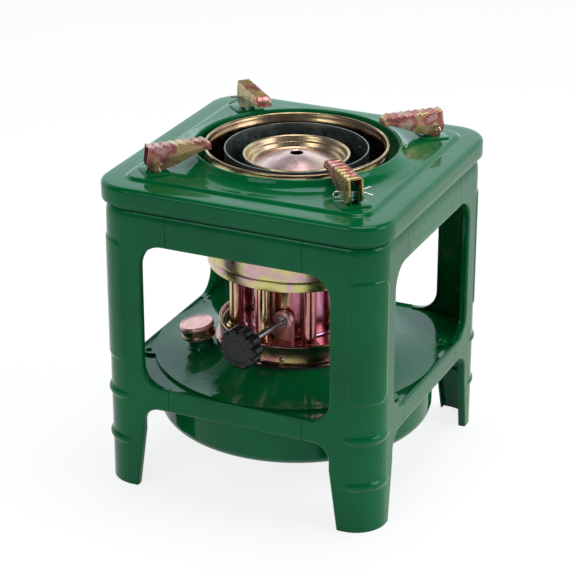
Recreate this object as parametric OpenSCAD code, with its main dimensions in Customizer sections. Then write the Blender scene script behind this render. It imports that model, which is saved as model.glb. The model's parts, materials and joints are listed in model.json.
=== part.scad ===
// Kerosene wick stove: a square enamelled frame on four pressed legs, a round
// fuel tank hung in the lower frame, a wick burner with a rack and pinion lift,
// and a lift-off top cover with four hinged pot supports.
// Millimetres, +Z up, front (knob side) towards -Y, origin under the centre.

/* [Cover] */
// Outside width of the square top cover
plate_w = 210; // [206:1:222]
// Corner radius of the top cover
corner_r = 25; // [22:0.5:30]
// Height of the cover's flat edge above the floor
plate_z = 222; // [220:1:230]
// Depth of the skirt hanging from the cover
skirt_h = 13; // [10:0.5:16]
// Sheet thickness of the cover
cover_t = 1; // [0.8:0.1:1.2]
// Gap between the cover's skirt and the leg frame
cover_gap = 1.7; // [1.2:0.1:2.2]
// Rise of the square step pressed into the cover
step_h = 2; // [1.5:0.1:2.5]
// Distance of the square step from the cover's edge
step_in = 17; // [15:0.5:19]
// Radius of the opening in the cover
opening_r = 70; // [69.5:0.25:71]
// Rise of the collar's lip above the cover's edge
collar_h = 9.6; // [9:0.1:10]

/* [Frame] */
// Sheet thickness of the legs and rails
sheet_t = 1.2; // [1:0.1:1.4]
// Width of the windows between the legs
window_w = 138; // [132:1:142]
// Radius of the window corners
window_r = 16; // [12:0.5:18]
// Height of the windows' upper edge above the floor
window_top = 183; // [178:1:186]
// Height of the lower rails' upper edge above the floor
rail_top = 78; // [76:1:82]
// Depth of the lower rails
rail_h = 16; // [14:0.5:18]
// Width of the rails between the ends of the legs' arms
rail_w = 99; // [92:1:104]
// Depth of the folded edge round the windows
fold_d = 5; // [4:0.25:6]
// Height of the shoulder under the cover
shoulder_z = 198; // [195:0.5:200]
// Step back of the neck above the shoulder
neck_in = 2.5; // [2:0.1:3]
// Width of the gap between two feet at the floor
foot_gap = 150; // [146:1:154]
// Height of the lower rib on each leg
rib_low_z = 34; // [30:0.5:38]
// Height of the upper rib on each leg
rib_high_z = 68.5; // [66:0.5:70]
// Rise of the ribs above the leg at its corner
rib_rise = 1.6; // [1:0.1:1.6]
// Half the turn round the corner in which a rib runs out
rib_span = 52; // [46:1:56]
// Rise of the tall panel on each leg
panel_rise = 0.8; // [0.5:0.1:1]
// Lower end of the tall panel
panel_z0 = 95; // [92:1:106]
// Upper end of the tall panel
panel_z1 = 182; // [174:1:190]
// Width of the flat part of the panel on each side
panel_w = 19.5; // [18:0.5:21]

/* [Tank] */
// Radius of the tank
tank_r = 97; // [94:0.5:97.5]
// Height of the tank's underside above the floor
tank_z = 33; // [28:0.5:38]
// Sheet thickness of the tank
tank_t = 1; // [0.8:0.1:1.2]
// Width of the seam flange round the tank
seam_w = 3.2; // [2.8:0.1:3.3]
// Rise of the tank's top above its seam
dome_h = 7.5; // [6.5:0.25:8.5]
// Radius of the flat seat for the burner
seat_r = 57.2; // [57:0.1:57.4]
// Distance of the filler from the centre
filler_r = 66.6; // [66.5:0.1:67.5]
// Direction of the filler round the tank
filler_dir = 211; // [205:1:217]
// Outward tilt of the filler
filler_tilt = 10; // [8:1:12]
// Radius of the filler neck
neck_r = 8.5; // [8:0.1:8.6]
// Radius of the filler cap
cap_r = 12.2; // [11.6:0.1:12.3]
// Height of the filler cap
cap_h = 10.5; // [9.5:0.25:11]

/* [Burner] */
// Turn of the burner on the tank, seen from above
burner_turn = -9; // [-12:1:12]
// Radius of the gallery under the wick tubes
gallery_r = 54; // [53.5:0.1:54.2]
// Height of the gallery
gallery_h = 15; // [13:0.5:16]
// Depth of the gallery's floor below its rim
floor_d = 4.3; // [3:0.1:5]
// Number of wicks
wick_n = 8; // [6:2:8]
// Radius of the circle of wicks
wick_ring_r = 42.5; // [42:0.1:43]
// Outer radius of a wick tube
tube_r = 5; // [4.6:0.1:5.2]
// Height of the burner plate above the floor
burner_z = 153.5; // [151:0.5:155]
// Radius of the burner plate
burner_r = 62; // [61:0.25:62.5]
// Radius of the outer drum
drum_r = 63; // [62.6:0.1:63.4]
// Height of the outer drum
drum_h = 78; // [75:0.5:79]
// Radius of the outer flame ring
outer_ring_r = 49.5; // [49.3:0.1:50]
// Radius of the inner flame ring
inner_ring_r = 36; // [35:0.1:36.2]
// Diameter of the holes in the flame rings
flame_hole_d = 2; // [1.6:0.1:2.6]
// Number of holes round each row of the outer ring
hole_n = 18; // [12:2:20]

/* [Wick lift] */
// Sideways place of the knob's shaft
shaft_x = 10.5; // [10:0.25:12]
// Height of the knob's shaft above the gallery's floor
shaft_up = 14.5; // [12:0.25:16]
// Radius of the knob's shaft
shaft_r = 2.5; // [2:0.1:2.8]
// Length of the shaft in front of the centre
shaft_front = 87; // [78:0.5:88]
// Radius of the knob
knob_r = 15; // [13:0.25:17]
// Depth of the knob
knob_d = 11; // [9:0.25:13]
// Tooth module of the pinion
tooth_m = 1; // [0.9:0.05:1.05]
// Play between the teeth at the pitch line
tooth_play = 0.4; // [0.3:0.05:0.5]
// Travel of the wicks
wick_travel = 12; // [8:0.5:13]

/* [Pot supports] */
// Distance of the hinge pins from the centre
pin_ring_r = 101; // [100:0.25:103]
// Height of the hinge pins above the cover's edge
pin_up = 10; // [9.5:0.1:11]
// Radius of the hinge pins
pin_r = 1.2; // [1:0.05:1.4]
// Width of a support
support_w = 10.2; // [9.6:0.1:12]
// Sheet thickness of a support
support_t = 1.2; // [1:0.1:1.4]
// Height of a support's bearing face above its pin
support_up = 11.5; // [10.5:0.1:12]
// Reach of a support's tip inwards of its pin
support_reach = 38; // [35:0.25:39]
// Number of teeth on a support
support_teeth = 8; // [5:1:9]

/* [Hidden] */

$fn = 96;
// Amount by which cutters pass through the faces they cut
over = 1;
// Half widths of the cover, the frame and its neck
cover_b = plate_w / 2;
frame_b = cover_b - cover_t - cover_gap;
frame_r = corner_r - cover_t - cover_gap;
inner_b = frame_b - sheet_t;
neck_b = frame_b - neck_in;
neck_corner = frame_r - neck_in;
neck_top = plate_z - cover_t;
rail_b = rail_w / 2;
rail_low = rail_top - rail_h;
window_b = window_w / 2;
arch_r = rail_h * 0.75;
arch_mid = rail_low - arch_r;
lap = 7;
rib_r = 4;
panel_r = 6;
// Distance of the filler neck's rim and of the cap's seal from the tank
neck_len = 20.5;
seal_t = 1.5;
seal_gap = 0.1;
cap_up = neck_len + seal_t + seal_gap;
// Play of the tank in the shelf
tank_play = 0.6;
// Fixing tabs of the tank's seam: they turn to the corners where the sides leave no room
tab_w = 14;
tab_out = 4.3;
tab_in = 3;
tab_gap = 0.5;
tab_turn = 28;
tab_r = tank_r + seam_w + tab_out;
tab_room = frame_b - fold_d - tab_gap - tab_w / 2;
tab_least = acos(min(1, tab_room / (tab_r - tab_in)));
tab_a = max(tab_turn, tab_least);
tab_dir = [tab_a, 180 - tab_a, 180 + tab_a, 360 - tab_a];
rivet_r = 1.2;
rivet_head_r = 3;
// Bead on the filler neck, play of the cap round it and thickness of its top
bead_r = 0.9;
cap_play = 0.7;
cap_t = 1.4;
cap_band = 2;
cap_rim = 3.2;
// Levels of the tank
pan_z = rail_top - 2 * sheet_t;
seam_z = pan_z + sheet_t;
seam_r = tank_r + seam_w;
lid_z = seam_z + tank_t;
seat_z = lid_z + tank_t + dome_h;
tank_round = 7;
dome_steps = 8;
// Levels of the burner
gasket_t = 1.5;
gallery_z = seat_z + gasket_t;
gallery_top = gallery_z + gallery_h;
gallery_t = 1;
gallery_flange = 2.5;
screw_z = gallery_z + 5;
screw_dir = [22.5, 112.5, 202.5, 292.5];
screw_r = 0.9;
screw_head_r = 1.9;
screw_head_h = 1;
rack_gap = 1;
well_r = gallery_r - 4;
tube_t = 0.5;
wick_gap = 0.3;
wick_r = tube_r - tube_t - wick_gap;
plate_rim = 7;
floor_z = gallery_top - floor_d;
tube_top = burner_z + 4;
air_in = 6;
air_r = inner_ring_r - air_in;
air_t = 0.8;
drum_t = 0.8;
ring_t = 0.7;
ring_drop = 3;
dish_drop = 8;
ring_h = drum_h - ring_drop;
dish_h = drum_h - dish_drop;
ring_foot = 1;
hole_rows = [0.3, 0.6, 0.9];
drum_foot = 6;
drum_rim = 1.2;
swage_r = 2;
swage_at = 0.55;
// Lid of the inner flame ring: centre hole, groove, step in its wall, sheet and rim
dish_hole_r = 4.4;
dish_d = 8;
dish_t = 0.9;
dish_lip = 1;
dish_groove_r = inner_ring_r - 5;
dish_step_r = inner_ring_r - 2.5;
dish_wall = 2.6;
cross_dir = [0, 120, 240];
cross_in = 2.5;
cross_r = 1.5;
cross_z = burner_z + drum_h * 0.7;
// Wick lift
shaft_z = floor_z + shaft_up;
teeth_n = 12;
pitch_r = tooth_m * teeth_n / 2;
pressure = 25;
addendum = 0.9 * tooth_m;
dedendum = 1.2 * tooth_m;
pitch = PI * tooth_m;
tooth_w = (pitch - tooth_play) / 2;
pinion_w = 8;
rack_w = 7;
rack_x = shaft_x - pitch_r;
rack_back = 4;
rack_teeth = ceil((wick_travel + 4 * pitch) / pitch);
lift_t = 1.5;
lift_room = 9;
lift_z = seat_z - wick_travel - lift_room;
lift_r = well_r - 0.8;
lift_hole_r = 9;
wick_sink = 10;
wick_foot = tank_z + wick_sink;
bracket_w = 14;
bracket_t = 1.2;
bracket_foot = 2.6;
collar_w = 2;
collar_r = shaft_r + 1.5;
collar_gap = 0.4;
shaft_tail = 4;
bracket_front_y = -33;
bracket_back_y = 9;
run = 0.06;
knob_lobes = 10;
// Supports
pin_z = plate_z + pin_up;
pin_out = 1.5;
pin_leg = 7;
eye_r = 2.2;
lug_r = 4.6;
lug_gap = 0.45;
hinge_t = 0.9;
hinge_l = 18;
hinge_w = 21;
hinge_round = 2;
support_b = support_w / 2;
ear_r = 6.8;
support_tail = 5.5;
notch_in = 3;
notch_w = 0.9;
wall_out = 4.5;
tip_h = 6;
collar_clear = 0.5;
lip_z = plate_z + collar_h;
step_z = plate_z + step_h;
step_b = cover_b - step_in;
// Width of the collar's flare, its lap with the field and the flat land left to the step or a hinge
flare_w = 14;
flare_lap = 0.5;
step_land = 1.5;
flare_r = min(opening_r + flare_w, step_b - step_land, pin_ring_r - hinge_l / 2 - step_land);

// A rounded square of half width b and corner radius r
module round_square(b, r) {
    square([2 * b, 2 * (b - r)], center = true);
    square([2 * (b - r), 2 * b], center = true);
    for (x = [-1, 1])
        for (y = [-1, 1])
            translate([x * (b - r), y * (b - r)])
                circle(r);
}

// A rounded rectangle from x0 to x1 and from z0 to z1
module round_rect(x0, x1, z0, z1, r) {
    translate([x0, z0 + r])
        square([x1 - x0, z1 - z0 - 2 * r]);
    translate([x0 + r, z0])
        square([x1 - x0 - 2 * r, z1 - z0]);
    for (x = [x0 + r, x1 - r])
        for (z = [z0 + r, z1 - r])
            translate([x, z])
                circle(r);
}

// A square tube of sheet with rounded corners
module square_tube(b, r, t, z0, z1) {
    translate([0, 0, z0])
        linear_extrude(z1 - z0)
            difference() {
                round_square(b, r);
                round_square(b - t, r - t);
            }
}

// The outline of a window, grown by g
module window_shape(g) {
    round_rect(-window_b - g, window_b + g, rail_top - g, window_top + g, window_r + g);
}

// The outline of the arch under a lower rail, grown by g
module arch_shape(g) {
    round_rect(-window_b - g, window_b + g, arch_mid - 2 * arch_r, rail_low + g, arch_r + g);
    polygon([[-window_b - g, arch_mid - arch_r / 2], [window_b + g, arch_mid - arch_r / 2],
             [foot_gap / 2 + g, -over], [-foot_gap / 2 - g, -over]]);
}

// Stands a drawn outline on the front face, from the face inwards
module on_front(depth, out) {
    translate([0, -frame_b - out, 0])
        rotate([90, 0, 180])
            mirror([1, 0, 0])
                linear_extrude(depth + out)
                    children();
}

// Room of the frame taken by the front left leg
module leg_corner() {
    far = frame_b + rib_rise + over;
    translate([-far, -far, 0])
        cube([far - rail_b, far - rail_b, plate_z]);
}

// The two faces of a leg: the front and the left one
module both_faces() {
    children();
    mirror([1, -1, 0])
        children();
}

// The square shell of the frame from the floor to the cover
module frame_shell() {
    square_tube(frame_b, frame_r, sheet_t, 0, shoulder_z);
    square_tube(frame_b, frame_r, neck_in + sheet_t, shoulder_z - sheet_t, shoulder_z);
    square_tube(neck_b, neck_corner, sheet_t, shoulder_z - sheet_t, neck_top);
}

// One rib round the corner of a leg, highest at the corner
module leg_rib(z) {
    c = frame_b - frame_r;
    high = frame_r + rib_rise;
    out = (high * high - frame_r * frame_r) / (2 * high - 2 * frame_r * cos(rib_span));
    ring_r = high - out - rib_r;
    mid = c + out * cos(45);
    difference() {
        translate([-mid, -mid, z])
            rotate_extrude()
                translate([ring_r, 0])
                    circle(rib_r);
        translate([0, 0, z - 2 * rib_r])
            linear_extrude(4 * rib_r)
                round_square(frame_b, frame_r);
    }
}

// The tall raised panel on a leg
module leg_panel() {
    edge = frame_b - panel_w;
    intersection() {
        square_tube(frame_b + panel_rise, frame_r + panel_rise, panel_rise, panel_z0, panel_z1);
        leg_corner();
        on_front(2 * frame_b, 2 * over)
            round_rect(-frame_b - 3 * over, -edge, panel_z0, panel_z1, panel_r);
        mirror([1, -1, 0])
            on_front(2 * frame_b, 2 * over)
                round_rect(-frame_b - 3 * over, -edge, panel_z0, panel_z1, panel_r);
    }
}

// One leg, drawn at the front left corner
module leg() {
    intersection() {
        difference() {
            frame_shell();
            both_faces()
                on_front(4 * sheet_t, 2 * over) {
                    window_shape(0);
                    arch_shape(0);
                }
        }
        leg_corner();
    }
    intersection() {
        both_faces()
            on_front(fold_d, -sheet_t) {
                difference() {
                    window_shape(sheet_t);
                    window_shape(0);
                }
                difference() {
                    arch_shape(sheet_t);
                    arch_shape(0);
                }
            }
        leg_corner();
    }
    leg_rib(rib_low_z);
    leg_rib(rib_high_z);
    leg_panel();
}

// Legs are coloured alike and set round the frame
module set_leg(turn) {
    color([0.03, 0.16, 0.12])
        rotate([0, 0, turn])
            leg();
}
module leg_front_left() { set_leg(0); }
module leg_front_right() { set_leg(90); }
module leg_back_right() { set_leg(180); }
module leg_back_left() { set_leg(270); }

// One upper rail, drawn on the front face, with laps behind the legs
module rail() {
    b = inner_b;
    intersection() {
        frame_shell();
        translate([-rail_b, -frame_b - over, window_top])
            cube([rail_w, frame_b / 2, plate_z]);
    }
    translate([-rail_b, -frame_b, window_top])
        cube([rail_w, fold_d, sheet_t]);
    difference() {
        translate([-rail_b - lap, -b, window_top + 2 * sheet_t])
            cube([rail_w + 2 * lap, sheet_t, shoulder_z - window_top - 4 * sheet_t]);
        translate([-rail_b + lap, -b - over, window_top])
            cube([rail_w - 2 * lap, sheet_t + 2 * over, shoulder_z]);
    }
}
module set_rail(turn) {
    color([0.03, 0.17, 0.13])
        rotate([0, 0, turn])
            rail();
}
module rail_front() { set_rail(0); }
module rail_right() { set_rail(90); }
module rail_back() { set_rail(180); }
module rail_left() { set_rail(270); }

// Outline of the shelf grown by g: the frame's square, bulged where the tank is wider
module shelf_outline(g) {
    round_square(inner_b + g, frame_r - sheet_t + g);
    circle(seam_r + tank_play / 2 + g);
}

// The lower shelf with down-turned rims between the legs, open for the tank
module shelf_pan() {
    color([0.03, 0.15, 0.11])
        difference() {
            union() {
                translate([0, 0, pan_z])
                    linear_extrude(sheet_t)
                        shelf_outline(0);
                translate([0, 0, rail_low])
                    linear_extrude(rail_h)
                        intersection() {
                            difference() {
                                shelf_outline(sheet_t);
                                shelf_outline(0);
                            }
                            union() {
                                square([rail_w, 4 * frame_b], center = true);
                                square([4 * frame_b, rail_w], center = true);
                            }
                        }
            }
            translate([0, 0, pan_z - over])
                cylinder(r = tank_r + tank_play, h = sheet_t + 2 * over);
        }
}

// The drawn pan of the tank with its seam flange
module tank_body() {
    r0 = tank_round;
    color([0.03, 0.14, 0.11])
        rotate_extrude()
            difference() {
                union() {
                    translate([0, tank_z])
                        square([tank_r - r0, r0]);
                    translate([tank_r - r0, tank_z + r0])
                        circle(r0);
                    translate([0, tank_z + r0])
                        square([tank_r, lid_z - tank_z - r0]);
                    translate([0, seam_z])
                        square([seam_r, tank_t]);
                }
                translate([0, tank_z + tank_t])
                    square([tank_r - r0, r0]);
                translate([tank_r - r0, tank_z + r0])
                    circle(r0 - tank_t);
                translate([0, tank_z + r0])
                    square([tank_r - tank_t, lid_z]);
                translate([-2 * tank_r, tank_z - over])
                    square([2 * tank_r, lid_z]);
            }
}

// Places a piece on the filler's tilted axis, at its seat on the tank
module at_filler() {
    rotate([0, 0, filler_dir])
        translate([filler_r, 0, lid_z])
            rotate([0, filler_tilt, 0])
                children();
}

// Height of the tank's top at radius r
function dome_z(r) = lid_z + dome_h * (1 - cos(90 * min(1, (tank_r - r) / (tank_r - seat_r))));

// One tab of the tank's seam
module tab_shape() {
    translate([tank_r + 1, -tab_w / 2])
        square([tab_r - tank_r - 1, tab_w]);
    translate([tab_r - tab_in, 0])
        circle(tab_w / 2);
}

// The flared top of the tank with holes for the burner and the filler
module tank_top() {
    step = (tank_r - seat_r) / dome_steps;
    upper = [for (i = [0 : dome_steps]) [tank_r - i * step, dome_z(tank_r - i * step) + tank_t]];
    lower = [for (i = [dome_steps : -1 : 0]) [tank_r - i * step, dome_z(tank_r - i * step)]];
    color([0.03, 0.17, 0.13])
        difference() {
            union() {
                rotate_extrude()
                    polygon(concat([[seam_r, lid_z], [seam_r, lid_z + tank_t]], upper,
                                   [[well_r, seat_z], [well_r, seat_z - tank_t]], lower));
                for (a = tab_dir)
                    rotate([0, 0, a])
                        translate([0, 0, lid_z])
                            linear_extrude(tank_t)
                                tab_shape();
            }
            at_filler()
                cylinder(r = neck_r, h = 2 * neck_len, center = true);
            for (a = tab_dir)
                rotate([0, 0, a])
                    translate([tab_r, 0, lid_z - over])
                        cylinder(r = rivet_r, h = tank_t + 2 * over, $fn = 32);
        }
}

// The tube that fuel is poured into
module filler_neck() {
    color([0.03, 0.14, 0.1])
        at_filler()
            difference() {
                union() {
                    cylinder(r = neck_r, h = neck_len);
                    translate([0, 0, neck_len - 3 * bead_r])
                        rotate_extrude()
                            translate([neck_r + cap_play / 3 - bead_r, 0])
                                circle(bead_r);
                }
                translate([0, 0, -over])
                    cylinder(r = neck_r - tank_t, h = neck_len + 2 * over);
            }
}

// The sealing disc inside the cap
module cap_gasket() {
    color([0.12, 0.11, 0.1])
        at_filler()
            translate([0, 0, neck_len])
                cylinder(r = neck_r + cap_play / 2, h = seal_t);
}

// The banded screw cap of the filler
module filler_cap() {
    low = cap_up + cap_t - cap_h;
    edge = cap_t / 2;
    color([0.76, 0.6, 0.4])
        at_filler()
            difference() {
                union() {
                    translate([0, 0, low])
                        cylinder(r = cap_r - edge, h = cap_h - edge);
                    translate([0, 0, low])
                        cylinder(r = cap_r, h = cap_band);
                    translate([0, 0, low + cap_h - edge - cap_rim])
                        cylinder(r = cap_r, h = cap_rim);
                    translate([0, 0, low + cap_h - edge])
                        cylinder(r1 = cap_r, r2 = cap_r - edge, h = edge);
                }
                translate([0, 0, low - over])
                    cylinder(r = neck_r + cap_play, h = cap_h - cap_t + over);
            }
}

// Rivets of the tank's tabs on the shelf
module tank_rivets() {
    foot = pan_z + sheet_t;
    color([0.1, 0.25, 0.2])
        for (a = tab_dir)
            rotate([0, 0, a])
                translate([tab_r, 0, foot]) {
                    cylinder(r = rivet_r, h = lid_z + tank_t - foot, $fn = 32);
                    translate([0, 0, lid_z + tank_t - foot])
                        intersection() {
                            translate([0, 0, -rivet_head_r / 2])
                                sphere(rivet_head_r, $fn = 48);
                            cylinder(r = rivet_head_r, h = rivet_head_r);
                        }
                }
}

// Seal between the tank and the gallery
module burner_gasket() {
    color([0.2, 0.18, 0.15])
        translate([0, 0, seat_z])
            difference() {
                cylinder(r = gallery_r + gallery_flange, h = gasket_t);
                translate([0, 0, -over])
                    cylinder(r = well_r, h = gasket_t + 2 * over);
            }
}

// Direction of a wick round the burner
function wick_dir(i) = 270 + i * 360 / wick_n;

// Places a piece at every wick
module at_wicks() {
    for (i = [0 : wick_n - 1])
        rotate([0, 0, wick_dir(i)])
            translate([wick_ring_r, 0, 0])
                children();
}

// Turns the burner's pieces together on the tank
module burner_set() {
    rotate([0, 0, burner_turn])
        children();
}

// The low drum with a sunk floor that carries the wick tubes
module gallery() {
    slot_x = rack_x - rack_back - dedendum - rack_gap;
    slot_l = rack_back + addendum + dedendum + 2 * rack_gap;
    slot_w = rack_w + 2 * rack_gap;
    color([0.74, 0.67, 0.42])
        burner_set()
            difference() {
                union() {
                    translate([0, 0, gallery_z])
                        cylinder(r = gallery_r + gallery_flange, h = sheet_t);
                    translate([0, 0, gallery_z])
                        cylinder(r = gallery_r, h = gallery_h);
                }
                translate([0, 0, gallery_z - over])
                    cylinder(r = well_r, h = sheet_t + 2 * over);
                translate([0, 0, gallery_z + sheet_t])
                    cylinder(r = gallery_r - gallery_t, h = floor_z - gallery_z - sheet_t - gallery_t);
                translate([0, 0, floor_z])
                    cylinder(r = gallery_r - gallery_t, h = floor_d + over);
                at_wicks()
                    translate([0, 0, floor_z - 2 * gallery_t])
                        cylinder(r = tube_r, h = 4 * gallery_t, $fn = 48);
                translate([slot_x, -slot_w / 2, floor_z - 2 * gallery_t])
                    cube([slot_l, slot_w, 4 * gallery_t]);
                for (a = screw_dir)
                    rotate([0, 0, a])
                        translate([gallery_r - gallery_t - over, 0, screw_z])
                            rotate([0, 90, 0])
                                cylinder(r = screw_r, h = gallery_t + 2 * over, $fn = 24);
            }
}

// Screws in the gallery's wall
module gallery_screws() {
    color([0.6, 0.58, 0.54])
        burner_set()
            for (a = screw_dir)
                rotate([0, 0, a])
                    translate([gallery_r - gallery_t, 0, screw_z])
                        rotate([0, 90, 0]) {
                            cylinder(r = screw_r, h = gallery_t, $fn = 24);
                            translate([0, 0, gallery_t])
                                cylinder(r1 = screw_head_r, r2 = screw_r, h = screw_head_h, $fn = 32);
                        }
}

// The fixed tubes that the wicks slide in
module wick_tubes() {
    low = floor_z - 3 * gallery_t;
    color([0.72, 0.64, 0.4])
        burner_set()
            at_wicks()
                translate([0, 0, low])
                    difference() {
                        cylinder(r = tube_r, h = tube_top - low, $fn = 48);
                        translate([0, 0, -over])
                            cylinder(r = tube_r - tube_t, h = tube_top - low + 2 * over, $fn = 48);
                    }
}

// The central air tube round the lift
module air_tube() {
    color([0.7, 0.5, 0.42])
        burner_set()
            translate([0, 0, floor_z])
                difference() {
                    cylinder(r = air_r, h = burner_z - sheet_t - floor_z);
                    translate([0, 0, -over])
                        cylinder(r = air_r - air_t, h = burner_z);
                    translate([shaft_x, 0, shaft_up])
                        rotate([90, 0, 0])
                            cylinder(r = collar_r, h = 2 * air_r, $fn = 48);
                }
}

// The plate at the top of the tubes on which the burner's shells stand
module burner_plate() {
    color([0.7, 0.62, 0.36])
        burner_set()
            difference() {
                union() {
                    translate([0, 0, burner_z - sheet_t])
                        cylinder(r = burner_r, h = sheet_t);
                    translate([0, 0, burner_z - plate_rim])
                        cylinder(r = burner_r, h = plate_rim);
                }
                translate([0, 0, burner_z - plate_rim - over])
                    cylinder(r = burner_r - 1, h = plate_rim - sheet_t + over);
                translate([0, 0, burner_z - plate_rim])
                    cylinder(r = air_r - air_t, h = 2 * plate_rim);
                at_wicks()
                    translate([0, 0, burner_z - plate_rim])
                        cylinder(r = tube_r, h = 2 * plate_rim, $fn = 48);
            }
}

// The plate that carries the lower ends of the wicks
module wick_lift_plate() {
    color([0.55, 0.53, 0.5])
        burner_set()
            difference() {
                translate([0, 0, lift_z])
                    cylinder(r = lift_r, h = lift_t);
                at_wicks()
                    translate([0, 0, lift_z - over])
                        cylinder(r = wick_r, h = lift_t + 2 * over, $fn = 48);
                for (a = [45 : 90 : 315])
                    rotate([0, 0, a])
                        translate([lift_r * 0.45, 0, lift_z - over])
                            cylinder(r = lift_hole_r, h = lift_t + 2 * over);
            }
}

// The toothed bar that lifts the plate
module wick_rack() {
    z0 = lift_z + lift_t;
    z1 = shaft_z + 2 * pitch;
    half_tip = tooth_w / 2 - addendum * tan(pressure);
    half_root = tooth_w / 2 + dedendum * tan(pressure);
    color([0.6, 0.57, 0.5])
        burner_set() {
            translate([rack_x - dedendum - rack_back, -rack_w / 2, z0])
                cube([rack_back, rack_w, z1 - z0]);
            for (i = [0 : rack_teeth - 1])
                translate([rack_x, rack_w / 2, shaft_z + pitch / 2 + (1 - i) * pitch])
                    rotate([90, 0, 0])
                        linear_extrude(rack_w)
                            polygon([[-dedendum - 0.2, -half_root], [addendum, -half_tip],
                                     [addendum, half_tip], [-dedendum - 0.2, half_root]]);
        }
}

// The braided wicks
module wicks() {
    color([0.86, 0.82, 0.72])
        burner_set()
            at_wicks()
                translate([0, 0, wick_foot])
                    cylinder(r = wick_r, h = tube_top + 1 - wick_foot, $fn = 48);
}

// An arched plate on the gallery in which the shaft turns
module shaft_bracket(y) {
    color([0.74, 0.68, 0.42])
        burner_set()
            translate([shaft_x, y, floor_z])
                difference() {
                    union() {
                        translate([-bracket_w / 2, -bracket_t / 2, 0])
                            cube([bracket_w, bracket_t, shaft_up]);
                        translate([0, bracket_t / 2, shaft_up])
                            rotate([90, 0, 0])
                                cylinder(r = bracket_w / 2, h = bracket_t);
                        translate([-bracket_w / 2, -bracket_t / 2 - bracket_foot, 0])
                            cube([bracket_w, bracket_t + bracket_foot, bracket_t]);
                    }
                    translate([0, bracket_t, shaft_up])
                        rotate([90, 0, 0])
                            cylinder(r = shaft_r + run, h = 2 * bracket_t, $fn = 64);
                }
}
module bracket_front() { shaft_bracket(bracket_front_y); }
module bracket_back() { shaft_bracket(bracket_back_y); }

// The shaft from the knob to the pinion
module knob_shaft() {
    tail = bracket_back_y + shaft_tail;
    collar_y = bracket_front_y - bracket_t / 2 - collar_gap;
    color([0.7, 0.66, 0.5])
        burner_set()
            translate([shaft_x, tail, shaft_z])
                rotate([90, 0, 0]) {
                    cylinder(r = shaft_r, h = shaft_front + tail, $fn = 64);
                    translate([0, 0, tail - collar_y])
                        cylinder(r = collar_r, h = collar_w);
                }
}

// Involute of an angle, in degrees
function inv(a) = tan(a) * 180 / PI - a;
// Half the angle that a tooth takes at radius r
function half_tooth(r) = tooth_w / pitch_r * 90 / PI + inv(pressure)
    - inv(acos(min(1, pitch_r * cos(pressure) / r)));
// A point at radius r and angle a
function polar(r, a) = [r * cos(a), r * sin(a)];

// The pinion that drives the rack
module pinion() {
    base_r = pitch_r * cos(pressure);
    root_r = pitch_r - dedendum;
    tip_r = pitch_r + addendum;
    rs = [root_r, base_r, (base_r + pitch_r) / 2, pitch_r, (pitch_r + tip_r) / 2, tip_r];
    pts = [for (k = [0 : teeth_n - 1])
               each concat([for (r = rs) polar(r, k * 360 / teeth_n - half_tooth(max(r, base_r)))],
                           [for (j = [5 : -1 : 0]) polar(rs[j], k * 360 / teeth_n
                                                           + half_tooth(max(rs[j], base_r)))])];
    color([0.6, 0.58, 0.52])
        burner_set()
            translate([shaft_x, pinion_w / 2, shaft_z])
                rotate([90, 0, 0])
                    linear_extrude(pinion_w)
                        difference() {
                            polygon(pts);
                            circle(shaft_r, $fn = 64);
                        }
}

// The lobed hand knob
module knob() {
    lobe_r = knob_r * 0.2;
    body_r = knob_r - lobe_r * 0.8;
    back = shaft_front - knob_d + 2;
    color([0.03, 0.03, 0.03])
        burner_set()
            translate([shaft_x, -back, shaft_z])
                rotate([90, 0, 0])
                    difference() {
                        union() {
                            cylinder(r = body_r, h = knob_d);
                            for (i = [0 : knob_lobes - 1])
                                rotate([0, 0, i * 360 / knob_lobes])
                                    translate([body_r - lobe_r * 0.2, 0, 0])
                                        cylinder(r = lobe_r, h = knob_d - 1.5, $fn = 32);
                        }
                        translate([0, 0, -over])
                            cylinder(r = shaft_r, h = knob_d - 2 + over, $fn = 64);
                        translate([0, 0, knob_d - 0.8])
                            difference() {
                                cylinder(r = body_r * 0.78, h = 2);
                                translate([0, 0, -over])
                                    cylinder(r = body_r * 0.5, h = 4);
                            }
                    }
}

// The outer drum with a rolled rim and a swage at half height
module outer_drum() {
    color([0.73, 0.66, 0.4])
        difference() {
            rotate_extrude() {
                translate([drum_r - drum_t, burner_z])
                    square([drum_t, drum_h - drum_rim]);
                translate([drum_r - drum_foot, burner_z])
                    square([drum_foot, drum_t]);
                translate([drum_r - drum_t / 2, burner_z + drum_h - drum_rim])
                    circle(drum_rim, $fn = 32);
                intersection() {
                    translate([drum_r - drum_t, burner_z + drum_h * swage_at])
                        circle(swage_r, $fn = 32);
                    translate([drum_r - 2 * swage_r, burner_z])
                        square([2 * swage_r, drum_h]);
                }
            }
            for (a = cross_dir)
                rotate([0, 0, a])
                    translate([drum_r - drum_foot, 0, cross_z])
                        rotate([0, 90, 0])
                            cylinder(r = cross_r, h = 2 * drum_foot, $fn = 32);
        }
}

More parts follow.
